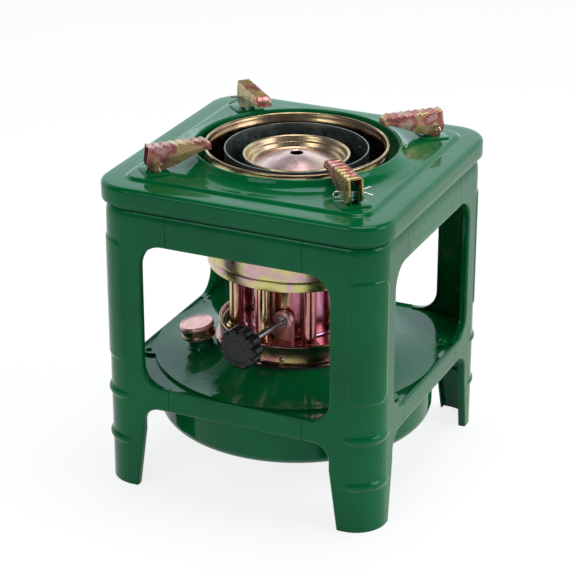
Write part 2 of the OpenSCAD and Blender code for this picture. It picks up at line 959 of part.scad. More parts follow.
// A perforated flame ring of outer radius r, height h and n holes in a row
module flame_ring(r, h, n) {
    color([0.3, 0.29, 0.27])
        difference() {
            rotate_extrude() {
                translate([r - ring_t, burner_z])
                    square([ring_t, h]);
                translate([r - ring_t, burner_z])
                    square([ring_t + ring_foot, ring_t]);
            }
            for (z = hole_rows)
                for (i = [0 : n - 1])
                    rotate([0, 0, (i + 0.5) * 360 / n])
                        translate([r - 2 * ring_t, 0, burner_z + h * z])
                            rotate([0, 90, 0])
                                cylinder(r = flame_hole_d / 2, h = 4 * ring_t, $fn = 24);
            for (a = cross_dir)
                rotate([0, 0, a])
                    translate([r - 2 * ring_t, 0, cross_z])
                        rotate([0, 90, 0])
                            cylinder(r = cross_r, h = 4 * ring_t, $fn = 32);
        }
}
module outer_flame_ring() { flame_ring(outer_ring_r, ring_h, hole_n); }
module inner_flame_ring() { flame_ring(inner_ring_r, dish_h, hole_n - 6); }

// The lid of the inner flame ring: a groove round a raised middle with a hole
module centre_dish() {
    top = burner_z + dish_h + dish_lip;
    low = top - dish_d;
    rim_r = inner_ring_r + dish_lip;
    wall_r = inner_ring_r - dish_wall;
    color([0.7, 0.63, 0.38])
        rotate_extrude()
            polygon([[dish_hole_r, top], [dish_groove_r - dish_wall, low], [dish_groove_r, low],
                     [dish_step_r - dish_t, top - dish_d / 2], [wall_r, top - dish_d / 2],
                     [wall_r + dish_t, top], [rim_r, top], [rim_r, top - dish_lip],
                     [wall_r + 2 * dish_t, top - dish_lip], [wall_r + dish_t, top - dish_d / 2 - dish_t],
                     [dish_step_r, top - dish_d / 2 - dish_t], [dish_groove_r + dish_t, low - dish_t],
                     [dish_groove_r - dish_wall - dish_t, low - dish_t], [dish_hole_r, top - dish_t]]);
}

// Pins that hold the burner's shells together
module cross_pins() {
    color([0.6, 0.58, 0.52])
        for (a = cross_dir)
            rotate([0, 0, a])
                translate([inner_ring_r - cross_in, 0, cross_z])
                    rotate([0, 90, 0])
                        cylinder(r = cross_r, h = drum_r - inner_ring_r + cross_in, $fn = 32);
}

// Places a piece on a corner's diagonal, outwards along its x
module at_corner(k) {
    rotate([0, 0, 45 + 90 * k])
        children();
}

// The top cover with skirt, step and collar
module top_cover() {
    color([0.04, 0.2, 0.15]) {
        square_tube(cover_b, corner_r, cover_t, plate_z - skirt_h, plate_z);
        difference() {
            union() {
                translate([0, 0, plate_z - cover_t])
                    linear_extrude(cover_t)
                        round_square(cover_b, corner_r);
                translate([0, 0, plate_z - cover_t])
                    linear_extrude(cover_t + step_h)
                        round_square(step_b, corner_r - step_in + 4);
            }
            translate([0, 0, plate_z - 2 * cover_t])
                linear_extrude(cover_t + step_h)
                    round_square(step_b - cover_t, corner_r - step_in + 3);
            translate([0, 0, plate_z - over])
                cylinder(r = flare_r - flare_lap, h = step_h + 4 * over);
        }
        rotate_extrude()
            polygon([[flare_r, step_z - cover_t], [flare_r, step_z], [opening_r + 3, lip_z - 0.8],
                     [opening_r + 1.6, lip_z], [opening_r + 0.6, lip_z - 0.2],
                     [opening_r, lip_z - 1], [opening_r, lip_z - 4], [opening_r + 1, lip_z - 4],
                     [opening_r + 1, lip_z - 1.6], [opening_r + 2.4, lip_z - 1.8],
                     [flare_r - 1, step_z - cover_t]]);
    }
}

// Outer face of a lug, measured from the middle of its support
function lug_y() = support_b - support_t - lug_gap;

// A welded hinge bracket: a base plate and two upright lugs that a support is pinned to
module hinge_bracket() {
    foot = step_z - pin_z;
    translate([pin_ring_r, 0, pin_z]) {
        translate([0, 0, foot])
            linear_extrude(hinge_t)
                round_rect(-hinge_l / 2, hinge_l / 2, -hinge_w / 2, hinge_w / 2, hinge_round);
        for (y = [lug_y(), hinge_t - lug_y()])
            translate([0, y, 0])
                rotate([90, 0, 0])
                    linear_extrude(hinge_t)
                        difference() {
                            union() {
                                circle(lug_r, $fn = 48);
                                translate([-lug_r, foot])
                                    square([2 * lug_r, -foot]);
                            }
                            circle(pin_r, $fn = 32);
                        }
    }
}
module set_hinge(k) {
    color([0.04, 0.2, 0.15])
        at_corner(k)
            hinge_bracket();
}
module hinge_back_right() { set_hinge(0); }
module hinge_back_left() { set_hinge(1); }
module hinge_front_left() { set_hinge(2); }
module hinge_front_right() { set_hinge(3); }

// One wall of a support, drawn from its pin: x outwards, y up
module support_side() {
    top = support_up;
    step_y = collar_h + collar_clear - pin_up;
    difference() {
        union() {
            polygon([[support_tail, top], [-support_reach, top], [-support_reach, top - tip_h],
                     [opening_r + wall_out - pin_ring_r, step_y],
                     [-ear_r * 1.6, -ear_r * 0.6], [0, -ear_r * 0.6], [support_tail, 0]]);
            circle(ear_r, $fn = 48);
        }
        circle(pin_r + run, $fn = 32);
    }
}

// One pot support: a channel with a toothed bearing face and a closed tip
module support() {
    tooth = (support_reach - 2 * notch_in) / (support_teeth + 1);
    translate([pin_ring_r, 0, pin_z])
        difference() {
            translate([0, support_b, 0])
                rotate([90, 0, 0])
                    linear_extrude(support_w)
                        support_side();
            translate([support_t - support_reach, support_t - support_b, -2 * ear_r])
                cube([support_reach + ear_r + support_tail, support_w - 2 * support_t,
                      2 * ear_r + support_up - support_t]);
            for (i = [1 : support_teeth])
                translate([-support_reach + notch_in + i * tooth, 0, support_up])
                    rotate([0, 45, 0])
                        cube([notch_w, support_w + 2 * over, notch_w], center = true);
        }
}
module set_support(k) {
    color([0.76, 0.68, 0.4])
        at_corner(k)
            support();
}
module support_back_right() { set_support(0); }
module support_back_left() { set_support(1); }
module support_front_left() { set_support(2); }
module support_front_right() { set_support(3); }

// A split hinge pin with an eye at one end and spread legs at the other
module split_pin() {
    wire = pin_r * 0.5;
    end = support_b + pin_out;
    translate([pin_ring_r, 0, pin_z]) {
        translate([0, end, 0])
            rotate([90, 0, 0])
                cylinder(r = pin_r, h = 2 * end, $fn = 32);
        translate([0, -end - eye_r, 0])
            rotate([0, 90, 0])
                rotate_extrude()
                    translate([eye_r, 0])
                        circle(wire, $fn = 24);
        for (s = [-1, 1])
            translate([0, end - wire, 0])
                rotate([-90 + s * 35, 0, 0])
                    cylinder(r = wire, h = pin_leg, $fn = 24);
    }
}
module set_pin(k) {
    color([0.72, 0.7, 0.66])
        at_corner(k)
            split_pin();
}
module pin_back_right() { set_pin(0); }
module pin_back_left() { set_pin(1); }
module pin_front_left() { set_pin(2); }
module pin_front_right() { set_pin(3); }

leg_front_left();
leg_front_right();
leg_back_right();
leg_back_left();
rail_front();
rail_right();
rail_back();
rail_left();
shelf_pan();
tank_body();
tank_top();
tank_rivets();
filler_neck();
cap_gasket();
filler_cap();
burner_gasket();
gallery();
gallery_screws();
wick_tubes();
air_tube();
burner_plate();
wick_lift_plate();
wick_rack();
wicks();
bracket_front();
bracket_back();
knob_shaft();
pinion();
knob();
outer_drum();
outer_flame_ring();
inner_flame_ring();
centre_dish();
cross_pins();
top_cover();
hinge_front_left();
hinge_front_right();
hinge_back_right();
hinge_back_left();
support_front_left();
support_front_right();
support_back_right();
support_back_left();
pin_front_left();
pin_front_right();
pin_back_right();
pin_back_left();
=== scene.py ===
import json
import math

import bmesh
import bpy
from mathutils import Matrix, Vector


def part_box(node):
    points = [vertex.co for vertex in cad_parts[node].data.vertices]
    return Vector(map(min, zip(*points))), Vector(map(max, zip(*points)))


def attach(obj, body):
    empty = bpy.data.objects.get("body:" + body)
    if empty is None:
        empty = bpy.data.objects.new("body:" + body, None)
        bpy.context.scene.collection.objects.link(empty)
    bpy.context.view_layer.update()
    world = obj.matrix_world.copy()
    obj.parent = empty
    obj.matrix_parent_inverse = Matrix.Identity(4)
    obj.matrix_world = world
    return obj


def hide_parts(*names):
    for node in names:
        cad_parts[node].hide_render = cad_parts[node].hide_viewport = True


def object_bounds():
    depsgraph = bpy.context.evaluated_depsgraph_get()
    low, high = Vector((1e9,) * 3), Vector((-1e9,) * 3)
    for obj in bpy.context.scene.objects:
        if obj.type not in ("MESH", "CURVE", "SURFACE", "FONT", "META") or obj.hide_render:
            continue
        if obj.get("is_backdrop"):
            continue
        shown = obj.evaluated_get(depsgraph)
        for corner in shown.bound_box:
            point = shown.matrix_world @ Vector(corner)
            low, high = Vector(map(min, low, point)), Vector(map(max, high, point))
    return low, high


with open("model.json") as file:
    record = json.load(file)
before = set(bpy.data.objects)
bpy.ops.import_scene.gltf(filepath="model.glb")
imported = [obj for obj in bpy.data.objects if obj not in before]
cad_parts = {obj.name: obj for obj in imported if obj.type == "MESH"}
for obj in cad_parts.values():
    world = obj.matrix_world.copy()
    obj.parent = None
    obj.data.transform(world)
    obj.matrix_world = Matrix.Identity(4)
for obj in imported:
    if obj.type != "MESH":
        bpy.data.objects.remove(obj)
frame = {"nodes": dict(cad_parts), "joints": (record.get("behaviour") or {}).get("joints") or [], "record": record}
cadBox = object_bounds()
scene = bpy.context.scene
scene.view_settings.view_transform = "Standard"
mm = 0.001
joints = {j["name"]: j for j in frame["joints"]}
print("frame loaded:", len(frame["nodes"]), "nodes")

# camera at the photograph's angle
cameraSet = {"at": (0.5711, -1.2751, 0.7407), "lookAt": (0.0050, -0.0253, 0.1342), "lens": 136.0,
             "near": 0.05}
camData = bpy.data.cameras.new("stoveCamera")
camData.lens = cameraSet["lens"]
camData.clip_start = cameraSet["near"]
camera = bpy.data.objects.new("stoveCamera", camData)
scene.collection.objects.link(camera)
camera.location = cameraSet["at"]
aim = Vector(cameraSet["lookAt"]) - Vector(cameraSet["at"])
camera.rotation_euler = aim.to_track_quat("-Z", "Y").to_euler()
scene.camera = camera


# materials

def shader(name, metal, rough):
    mat = bpy.data.materials.new(name)
    mat.use_nodes = True
    tree = mat.node_tree
    surface = tree.nodes["Principled BSDF"]
    surface.inputs["Metallic"].default_value = metal
    surface.inputs["Roughness"].default_value = rough
    return mat, tree, surface


def objectNoise(tree, scale, stretch=(1, 1, 1), detail=3.0, rough=0.5):
    place = tree.nodes.new("ShaderNodeTexCoord")
    spread = tree.nodes.new("ShaderNodeMapping")
    spread.inputs["Scale"].default_value = stretch
    noise = tree.nodes.new("ShaderNodeTexNoise")
    noise.inputs["Scale"].default_value = scale
    noise.inputs["Detail"].default_value = detail
    noise.inputs["Roughness"].default_value = rough
    tree.links.new(place.outputs["Object"], spread.inputs["Vector"])
    tree.links.new(spread.outputs["Vector"], noise.inputs["Vector"])
    return noise.outputs["Fac"]


def ramp(tree, value, stops):
    node = tree.nodes.new("ShaderNodeValToRGB")
    marks = node.color_ramp.elements
    while len(marks) < len(stops):
        marks.new(0.5)
    for mark, (at, colour) in zip(marks, stops):
        mark.position = at
        mark.color = (*colour, 1)
    tree.links.new(value, node.inputs["Fac"])
    return node.outputs["Color"]


def spreadRange(tree, value, low, high):
    node = tree.nodes.new("ShaderNodeMapRange")
    node.inputs["From Min"].default_value = 0.3
    node.inputs["From Max"].default_value = 0.7
    node.inputs["To Min"].default_value = low
    node.inputs["To Max"].default_value = high
    tree.links.new(value, node.inputs["Value"])
    return node.outputs["Result"]


def stain(tree, surface, pattern, stops):      # base colour from a pattern
    tree.links.new(ramp(tree, pattern, stops), surface.inputs["Base Color"])


def wear(tree, surface, scale, low, high):      # roughness that wanders between two values
    tree.links.new(spreadRange(tree, objectNoise(tree, scale), low, high), surface.inputs["Roughness"])


def grainBump(tree, surface, height, strength, depth):
    node = tree.nodes.new("ShaderNodeBump")
    node.inputs["Strength"].default_value = strength
    node.inputs["Distance"].default_value = depth
    tree.links.new(height, node.inputs["Height"])
    tree.links.new(node.outputs["Normal"], surface.inputs["Normal"])


def greenEnamel(stops):
    mat, tree, surface = shader("greenEnamel", 0.0, 0.1)
    stain(tree, surface, objectNoise(tree, 14, detail=4), stops)
    wear(tree, surface, 55, 0.06, 0.15)
    surface.inputs["Specular IOR Level"].default_value = 0.25
    surface.inputs["Specular Tint"].default_value = (0.55, 0.95, 1.0, 1)
    grainBump(tree, surface, objectNoise(tree, 150, detail=1), 0.06, 0.002)
    return mat


def yellowZinc(name, stops, scale, stretch, rough, metal=1.0, detail=3.0):
    mat, tree, surface = shader(name, metal, rough)
    stain(tree, surface, objectNoise(tree, scale, stretch, detail, 0.55), stops)
    wear(tree, surface, 160, rough - 0.05, rough + 0.1)
    grainBump(tree, surface, objectNoise(tree, 420, detail=2), 0.05, 0.001)
    return mat


def bareSteel(name, dark, light, rough):
    mat, tree, surface = shader(name, 1.0, rough)
    stain(tree, surface, objectNoise(tree, 90, (1, 1, 3)), [(0.3, dark), (0.7, light)])
    wear(tree, surface, 300, rough - 0.08, rough + 0.1)
    grainBump(tree, surface, objectNoise(tree, 900), 0.04, 0.0005)
    return mat


def plainSolid(name, dark, light, rough, grain, depth, gloss=0.5):
    mat, tree, surface = shader(name, 0.0, rough)
    surface.inputs["Specular IOR Level"].default_value = gloss
    stain(tree, surface, objectNoise(tree, 120), [(0.3, dark), (0.7, light)])
    wear(tree, surface, 500, rough - 0.08, rough + 0.08)
    grainBump(tree, surface, objectNoise(tree, grain, detail=2), 0.25, depth)
    return mat


enamelCast = [(0.3, (0.0010, 0.092, 0.023)), (0.52, (0.0013, 0.118, 0.031)), (0.75, (0.0018, 0.140, 0.040))]
rustyCast = [(0.26, (0.24, 0.19, 0.07)), (0.36, (0.44, 0.33, 0.12)), (0.44, (0.54, 0.36, 0.20)),
             (0.50, (0.42, 0.16, 0.11)), (0.55, (0.30, 0.09, 0.08)), (0.62, (0.52, 0.26, 0.26)),
             (0.74, (0.58, 0.42, 0.29))]
goldCast = [(0.28, (0.38, 0.42, 0.13)), (0.38, (0.56, 0.52, 0.18)), (0.48, (0.58, 0.52, 0.22)),
            (0.53, (0.54, 0.40, 0.30)), (0.57, (0.56, 0.36, 0.40)), (0.61, (0.55, 0.46, 0.26)),
            (0.68, (0.56, 0.51, 0.20)), (0.78, (0.44, 0.45, 0.15))]
oliveCast = [(0.3, (0.24, 0.19, 0.07)), (0.42, (0.38, 0.29, 0.11)), (0.50, (0.44, 0.21, 0.19)),
             (0.57, (0.36, 0.12, 0.13)), (0.65, (0.42, 0.32, 0.13)), (0.78, (0.27, 0.24, 0.08))]
drawnCast = [(0.28, (0.14, 0.06, 0.04)), (0.37, (0.46, 0.32, 0.13)), (0.43, (0.66, 0.49, 0.27)),
             (0.48, (0.56, 0.24, 0.22)), (0.57, (0.40, 0.13, 0.15)), (0.64, (0.62, 0.32, 0.38)),
             (0.72, (0.66, 0.50, 0.36)), (0.80, (0.24, 0.10, 0.08))]
maroonCast = [(0.28, (0.24, 0.07, 0.07)), (0.40, (0.46, 0.17, 0.16)), (0.47, (0.62, 0.40, 0.22)),
              (0.53, (0.34, 0.10, 0.12)), (0.60, (0.62, 0.25, 0.46)), (0.67, (0.54, 0.24, 0.28)),
              (0.76, (0.30, 0.12, 0.10))]
pinkCast = [(0.3, (0.62, 0.48, 0.32)), (0.45, (0.68, 0.46, 0.41)), (0.58, (0.66, 0.44, 0.45)),
            (0.72, (0.60, 0.42, 0.38))]
# darker gold-brown for the dish's wall: a golden tone with painted shade
brassCast = [(0.3, (0.36, 0.27, 0.13)), (0.45, (0.52, 0.39, 0.22)), (0.58, (0.42, 0.28, 0.19)),
             (0.72, (0.58, 0.45, 0.28))]
roseCast = [(0.3, (0.84, 0.55, 0.36)), (0.45, (0.92, 0.50, 0.44)), (0.58, (0.82, 0.41, 0.45)),
            (0.72, (0.78, 0.42, 0.36))]
# darker bronze: painted shade inside the drum and in the cap's groove, and the colour of the drum's rim
shadeAndRimBronzeCast = [(0.3, (0.18, 0.10, 0.075)), (0.46, (0.33, 0.21, 0.13)), (0.58, (0.46, 0.35, 0.18)),
              (0.72, (0.34, 0.20, 0.17))]
enamel = greenEnamel(enamelCast)
zincSupport = yellowZinc("yellowZincRusty", rustyCast, 62, (1, 1, 1), 0.25, 0.65, 1.5)
zincTall = yellowZinc("yellowZincDrawn", drawnCast, 60, (1, 1, 0.12), 0.16)
zincBroad = yellowZinc("yellowZincGold", goldCast, 26, (1, 1, 1.4), 0.24)
zincOlive = yellowZinc("yellowZincOlive", oliveCast, 18, (1, 1, 3), 0.2)
zincPink = yellowZinc("yellowZincPink", pinkCast, 22, (1, 1, 1), 0.3)
zincBrass = yellowZinc("yellowZincBrass", brassCast, 30, (1, 1, 2), 0.26)
zincRose = yellowZinc("yellowZincRose", roseCast, 50, (1, 1, 1), 0.3, 0.7)
zincMaroon = yellowZinc("yellowZincMaroon", maroonCast, 60, (1, 1, 0.1), 0.18)
zincShadeAndRimBronze = yellowZinc("yellowZincShadeAndRimBronze", shadeAndRimBronzeCast, 24, (1, 1, 2), 0.24)
burntSteel = bareSteel("burntSteel", (0.16, 0.19, 0.185), (0.30, 0.34, 0.33), 0.4)
wireSteel = bareSteel("wireSteel", (0.52, 0.52, 0.51), (0.72, 0.72, 0.70), 0.2)
shaftSteel = bareSteel("shaftSteel", (0.30, 0.31, 0.32), (0.44, 0.45, 0.46), 0.3)
knobPlastic = plainSolid("knobPlastic", (0.006, 0.006, 0.007), (0.012, 0.012, 0.013), 0.36, 1500, 0.0003,
                         gloss=0.28)
sealRubber = plainSolid("sealRubber", (0.015, 0.014, 0.013), (0.03, 0.028, 0.026), 0.7, 900, 0.0003)
wickCotton = plainSolid("wickCotton", (0.62, 0.56, 0.45), (0.80, 0.76, 0.66), 0.9, 2600, 0.0004)
finishes = {"green_enamel": enamel, "yellow_zinc": zincBroad, "dark_steel": burntSteel,
            "bright_steel": shaftSteel, "black_plastic": knobPlastic, "black_rubber": sealRubber,
            "cotton": wickCotton}
for part in frame["record"]["subparts"]:      # CAD nodes that stay take these finishes
    node = frame["nodes"][part["node"]]
    node.data.materials.clear()
    node.data.materials.append(finishes[part["material_slot"]])
print("materials made:", len(bpy.data.materials))


# shared modelling helpers, all in millimetres

def arc(cx, cz, r, start, end, n):
    turns = [math.radians(start + (end - start) * i / n) for i in range(n + 1)]
    return [(cx + r * math.cos(a), cz + r * math.sin(a)) for a in turns]


def cubic(t, a, b, c, d):      # one coordinate of a curve drawn by four points
    w = 1 - t
    return w ** 3 * a + 3 * w * w * t * b + 3 * w * t * t * c + t ** 3 * d


def wallLoop(line, thick):
    points = [Vector(p) for p in line]
    back = []
    for i, p in enumerate(points):
        along = (points[min(i + 1, len(points) - 1)] - points[max(i - 1, 0)]).normalized()
        back.append(p + Vector((-along.y, along.x)) * thick)
    return points + back[::-1]


def spinLoop(bm, loop, steps, closed=True):
    verts = [bm.verts.new((p[0], 0, p[1])) for p in loop]
    ends = verts[1:] + verts[:1] if closed else verts[1:]
    edges = [bm.edges.new(pair) for pair in zip(verts, ends)]
    bmesh.ops.spin(bm, geom=verts + edges, cent=(0, 0, 0), axis=(0, 0, 1), angle=2 * math.pi, steps=steps,
                   use_merge=True)
    bmesh.ops.remove_doubles(bm, verts=bm.verts, dist=0.0005)
    bmesh.ops.recalc_face_normals(bm, faces=bm.faces)


def repeatRound(bm, count):
    whole = bm.verts[:] + bm.edges[:] + bm.faces[:]
    turn = 2 * math.pi * (count - 1) / count
    bmesh.ops.spin(bm, geom=whole, cent=(0, 0, 0), axis=(0, 0, 1), angle=turn, steps=count - 1,
                   use_duplicate=True)


def vertsOf(geom):
    return [v for v in geom if isinstance(v, bmesh.types.BMVert)]


def extrudeTo(bm, edges, place):      # pulls out a row of edges and puts each new vertex in its place
    made = bmesh.ops.extrude_edge_only(bm, edges=edges)["geom"]
    row = vertsOf(made)
    for v in row:
        v.co = place(v.co)
    fresh = set(row)
    return [e for e in made if isinstance(e, bmesh.types.BMEdge) and fresh.issuperset(e.verts)]


def stackRings(bm, segments, places):      # a closed skin through a stack of rings
    bmesh.ops.create_circle(bm, cap_ends=True, segments=segments, radius=1)
    for v in bm.verts:
        v.co = places[0](v.co)
    edges = [e for e in bm.edges if e.is_boundary]
    for place in places[1:]:
        edges = extrudeTo(bm, edges, place)
    bmesh.ops.edgenet_fill(bm, edges=edges)
    bmesh.ops.recalc_face_normals(bm, faces=bm.faces)


def pulledPlate(bm, points, vec):
    face = bm.faces.new([bm.verts.new(p) for p in points])
    pulled = bmesh.ops.extrude_face_region(bm, geom=[face])["geom"]
    bmesh.ops.translate(bm, vec=vec, verts=vertsOf(pulled))


def softEdges(bm, edges, width, segments):
    bmesh.ops.bevel(bm, geom=edges, offset=width, offset_type="OFFSET", affect="EDGES", segments=segments,
                    profile=0.5, material=-1, clamp_overlap=True)


def joinInto(bm, extra):      # adds a second shape and frees it
    scrap = bpy.data.meshes.new("scrap")
    extra.to_mesh(scrap)
    extra.free()
    bm.from_mesh(scrap)
    bpy.data.meshes.remove(scrap)


def faceAlong(bm, towards):      # open sheets: turns the faces so that the outer side looks out
    bmesh.ops.recalc_face_normals(bm, faces=bm.faces)
    if sum(f.normal.dot(towards(f.calc_center_median())) * f.calc_area() for f in bm.faces) < 0:
        bmesh.ops.reverse_faces(bm, faces=bm.faces)


def movedBy(bm, matrix):
    bmesh.ops.transform(bm, matrix=matrix, verts=bm.verts)


def finishPiece(name, bm, material, body, nodes, sharp=35, sheet=None, second=None):
    bmesh.ops.scale(bm, vec=(mm, mm, mm), verts=bm.verts)
    bm.edges.index_update()
    rims = [e.index for e in bm.edges if e.is_boundary]
    mesh = bpy.data.meshes.new(name)
    bm.to_mesh(mesh)
    bm.free()
    mesh.materials.append(material)
    if second:
        mesh.materials.append(second)
    for face in mesh.polygons:
        face.use_smooth = True
    mesh.set_sharp_from_angle(angle=math.radians(sharp))
    for i in rims:      # the cut edges of sheets stay crisp
        mesh.edges[i].use_edge_sharp = True
    piece = bpy.data.objects.new(name, mesh)
    scene.collection.objects.link(piece)
    if sheet:      # sheet metal grows inwards from its outer face
        thicken = piece.modifiers.new("sheet", "SOLIDIFY")
        thicken.thickness = sheet * mm
        thicken.offset = -1
    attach(piece, body)
    if nodes:
        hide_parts(*nodes)
    return piece


# rounded squares seen from above: angles of points set evenly round one, and its radius in a direction

def squareAngles(half, corner, count):
    flat, bend = half - corner, corner * math.pi / 2
    angles = []
    for i in range(count):
        quarter, s = divmod(i * 4 / count, 1)
        s *= 2 * flat + bend
        if s < flat:
            x, y = half, s
        elif s < flat + bend:
            x = flat + corner * math.cos((s - flat) / corner)
            y = flat + corner * math.sin((s - flat) / corner)
        else:
            x, y = 2 * flat + bend - s, half
        angles.append(math.atan2(y, x) + quarter * math.pi / 2)
    return angles


def squareRadius(angle, half, corner):
    a = angle % (math.pi / 2)
    a = min(a, math.pi / 2 - a)
    flat = half - corner
    if half * math.tan(a) <= flat:
        return half / math.cos(a)
    reach = flat * (math.cos(a) + math.sin(a))
    return reach + math.sqrt(max(0, corner * corner - 2 * flat * flat + reach * reach))


# top cover: skirt, rounded edge, square step, flared collar

coverSet = {"half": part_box("top_cover")[1].x / mm, "corner": 25, "edgeZ": 222, "skirt": 13, "sheet": 1.0,
            "edgeRound": 3.2, "stepHalf": 88, "stepCorner": 11, "stepUp": 2, "stepSoft": 2.2,
            "fieldRise": 0.35, "flareR": 85, "openR": 70, "lipZ": 231.6, "around": 336}


def coverRings(s):
    h, c, z, e = s["half"], s["corner"], s["edgeZ"], s["edgeRound"]
    low = z - s["skirt"]
    square = lambda b, zz: (b, c - h + b, 0, 0, zz)
    rings = [square(h - 1.3, low + 1.0), square(h - 0.9, low + 0.2), square(h - 0.3, low)]
    rings += [square(h, low + 0.8), square(h, low + 4), square(h, z - e - 2)]
    rings += [square(h - e + x, z - e + y) for x, y in arc(0, 0, e, 0, 90, 6)]
    b, r, soft, field = s["stepHalf"], s["stepCorner"], s["stepSoft"], z + s["stepUp"]
    step = lambda d, zz: (b + d, r + d, 0, 0, zz)
    rings += [square(h - 8, z + 0.1), step(3.2, z + 0.1), step(1.6, z + 0.15), step(0.8, z + 0.5)]
    rings += [step(0.2, z + 1.1), step(-0.5, field - 0.35), step(-1.3, field - 0.05), step(-soft, field)]
    flare = s["flareR"]
    for i in range(1, 8):      # the square field runs over into the round flare
        t = i / 7
        rings.append((b - soft, r - soft, flare, t, field + s["fieldRise"] * t * t))
    base, lip, mouth = field + s["fieldRise"], s["lipZ"], s["openR"]
    for i in range(1, 9):
        t = i / 8
        rad = cubic(t, flare, flare - 7, mouth + 4.6, mouth + 2.6)
        rings.append((0, 0, rad, 1, cubic(t, base, base + 0.4, base + 2.2, lip - 1.1)))
    rings += [(0, 0, mouth + 1.3 + x, 1, lip - 1.2 + y) for x, y in arc(0, 0, 1.2, 20, 180, 6)]
    rings += [(0, 0, mouth, 1, lip - 2.4), (0, 0, mouth, 1, lip - 4)]
    return rings


def ringPlace(ring):
    half, corner, circle, mix, z = ring

    def place(co):
        angle = math.atan2(co.y, co.x)
        out = (1 - mix) * squareRadius(angle, half, corner) + mix * circle if mix < 1 else circle
        return Vector((out * math.cos(angle), out * math.sin(angle), z))
    return place


def topCover(s):
    bm = bmesh.new()
    rings = coverRings(s)
    first = bmesh.ops.create_circle(bm, cap_ends=False, segments=s["around"], radius=1)["verts"]
    place = ringPlace(rings[0])
    for v, angle in zip(first, squareAngles(s["half"], s["corner"], s["around"])):
        v.co = place(Vector((math.cos(angle), math.sin(angle), 0)))
    edges = bm.edges[:]
    for ring in rings[1:]:
        edges = extrudeTo(bm, edges, ringPlace(ring))
    faceAlong(bm, lambda p: Vector((0, 0, 1)))
    return finishPiece("topCover", bm, enamel, "cover", ["top_cover"], 30, s["sheet"])


topCover(coverSet)
print("top cover made")

# hinge brackets: a base plate on the cover with two upright lugs

hingeSet = {"ringR": 101, "pinZ": 232, "lugR": 4.6, "outer": 3.45, "thick": 0.9, "footZ": 224.05,
            "halfLong": 9, "halfWide": 10.5, "cornerR": 2, "bend": 0.9, "edge": 0.22, "foldAngle": 1.2}
corners = {"back_right": 45, "back_left": 135, "front_left": 225, "front_right": 315}


def hingeBracket(s, name, angle):
    bm = bmesh.new()
    r, foot, ring = s["cornerR"], s["footZ"], s["ringR"]
    x, y = s["halfLong"] - r, s["halfWide"] - r
    turns = ((x, y, 0), (-x, y, 90), (-x, -y, 180), (x, -y, 270))
    plate = [p for cx, cy, a in turns for p in arc(cx, cy, r, a, a + 90, 5)]
    pulledPlate(bm, [(ring + x, y, foot) for x, y in plate], (0, 0, s["thick"]))
    b, lug, top = s["bend"], s["lugR"], foot + s["thick"]
    for side in (-1, 1):
        line = [(lug + b - x, top + b - z) for x, z in arc(0, 0, b, 90, 0, 4)]
        line += arc(0, s["pinZ"], lug, 0, 180, 16)
        line += [(-lug - b + x, top + b - z) for x, z in arc(0, 0, b, 0, 90, 4)]
        pulledPlate(bm, [(ring + x, side * s["outer"], z) for x, z in line], (0, -side * s["thick"], 0))
    bmesh.ops.recalc_face_normals(bm, faces=bm.faces)
    sharp = [e for e in bm.edges if e.calc_face_angle(0) > s["foldAngle"]]
    softEdges(bm, [e for e in sharp if min(v.co.z for v in e.verts) > foot + 0.1], s["edge"], 2)
    movedBy(bm, Matrix.Rotation(math.radians(angle), 4, "Z"))
    node = "hinge_" + name
    return finishPiece(node + "_welded", bm, enamel, "cover", [node], 40)


for name, angle in corners.items():
    hingeBracket(hingeSet, name, angle)
print("hinges made")

# legs: a pressed corner with folded edges, a tall panel and two ribs

legSet = {"face": 102.3, "corner": 22.3, "sheet": 1.2, "fold": 1.5, "foldDeep": 5, "windowHalf": 69,
          "windowR": 16, "windowTop": 183, "railTop": 78, "railLow": 62, "archR": 12, "armEnd": 49.6,
          "footHalf": 75, "top": 221, "neckIn": 2.5, "shoulderLow": 196.5, "shoulderTall": 9, "panelLow": 95,
          "panelHigh": 182, "panelEdge": 82.8, "panelRise": 0.8, "panelSoft": 2.2, "panelR": 6,
          "panelStep": 0.7, "ribs": (34, 68.5), "ribRise": 1.9, "ribR": 4.2, "ribSpan": 20.5, "gap": 0.02,
          "cornerCells": 22, "cornerPast": 3.0, "faceCells": 12}


def shoulderRows(s):
    return [s["shoulderLow"] + s["shoulderTall"] * math.sin(math.pi / 24 * i) for i in range(13)]


def legRows(s):      # heights from the floor up, each with how far the leg's inner edge is from the middle
    g, w, gap = s["fold"], s["windowHalf"], s["gap"]
    archTop, archR, winR = s["railLow"] + g, s["archR"] + g, s["windowR"] + g
    rows = {}
    archMid = archTop - archR
    taper = archMid - s["archR"] / 2
    for z in [*range(0, 26, 5), *[26 + i * 0.75 for i in range(21)], taper]:
        if z <= taper:
            rows[z] = s["footHalf"] + g - (s["footHalf"] - w) * z / taper
    rows[archMid] = w + g
    for x, z in arc(w + g - archR, archMid, archR, 0, 90, 9):
        rows[z] = x
    low, high = s["railTop"] - g, s["windowTop"] + g
    for i in range(21):
        rows[archTop + gap + (low - archTop - 2 * gap) * i / 20] = s["armEnd"]
    for x, z in arc(w + g - winR, low + winR, winR, -90, 0, 11):
        rows[z] = x
    for x, z in arc(w + g - winR, high - winR, winR, 0, 90, 11):
        rows[z] = x
    upright = [s["panelLow"] + i * s["panelStep"] for i in range(-2, 12)]
    upright += [s["panelHigh"] - winR - i * 8 for i in range(8)]
    for z in upright:
        if low + winR < z < high - winR:
            rows[z] = w + g
    for z in [s["panelHigh"] + i * s["panelStep"] for i in range(-11, 3)]:
        if z < high:
            rows[z] = w + g - winR + math.sqrt(max(0, winR ** 2 - max(0, z - high + winR) ** 2))
    for z in [high + gap, high + 4, high + 8, s["top"] - 8, s["top"], *shoulderRows(s)]:
        rows[z] = s["armEnd"]
    return sorted(rows.items())


def smoothUp(t):
    t = min(1, max(0, t))
    return t * t * (3 - 2 * t)


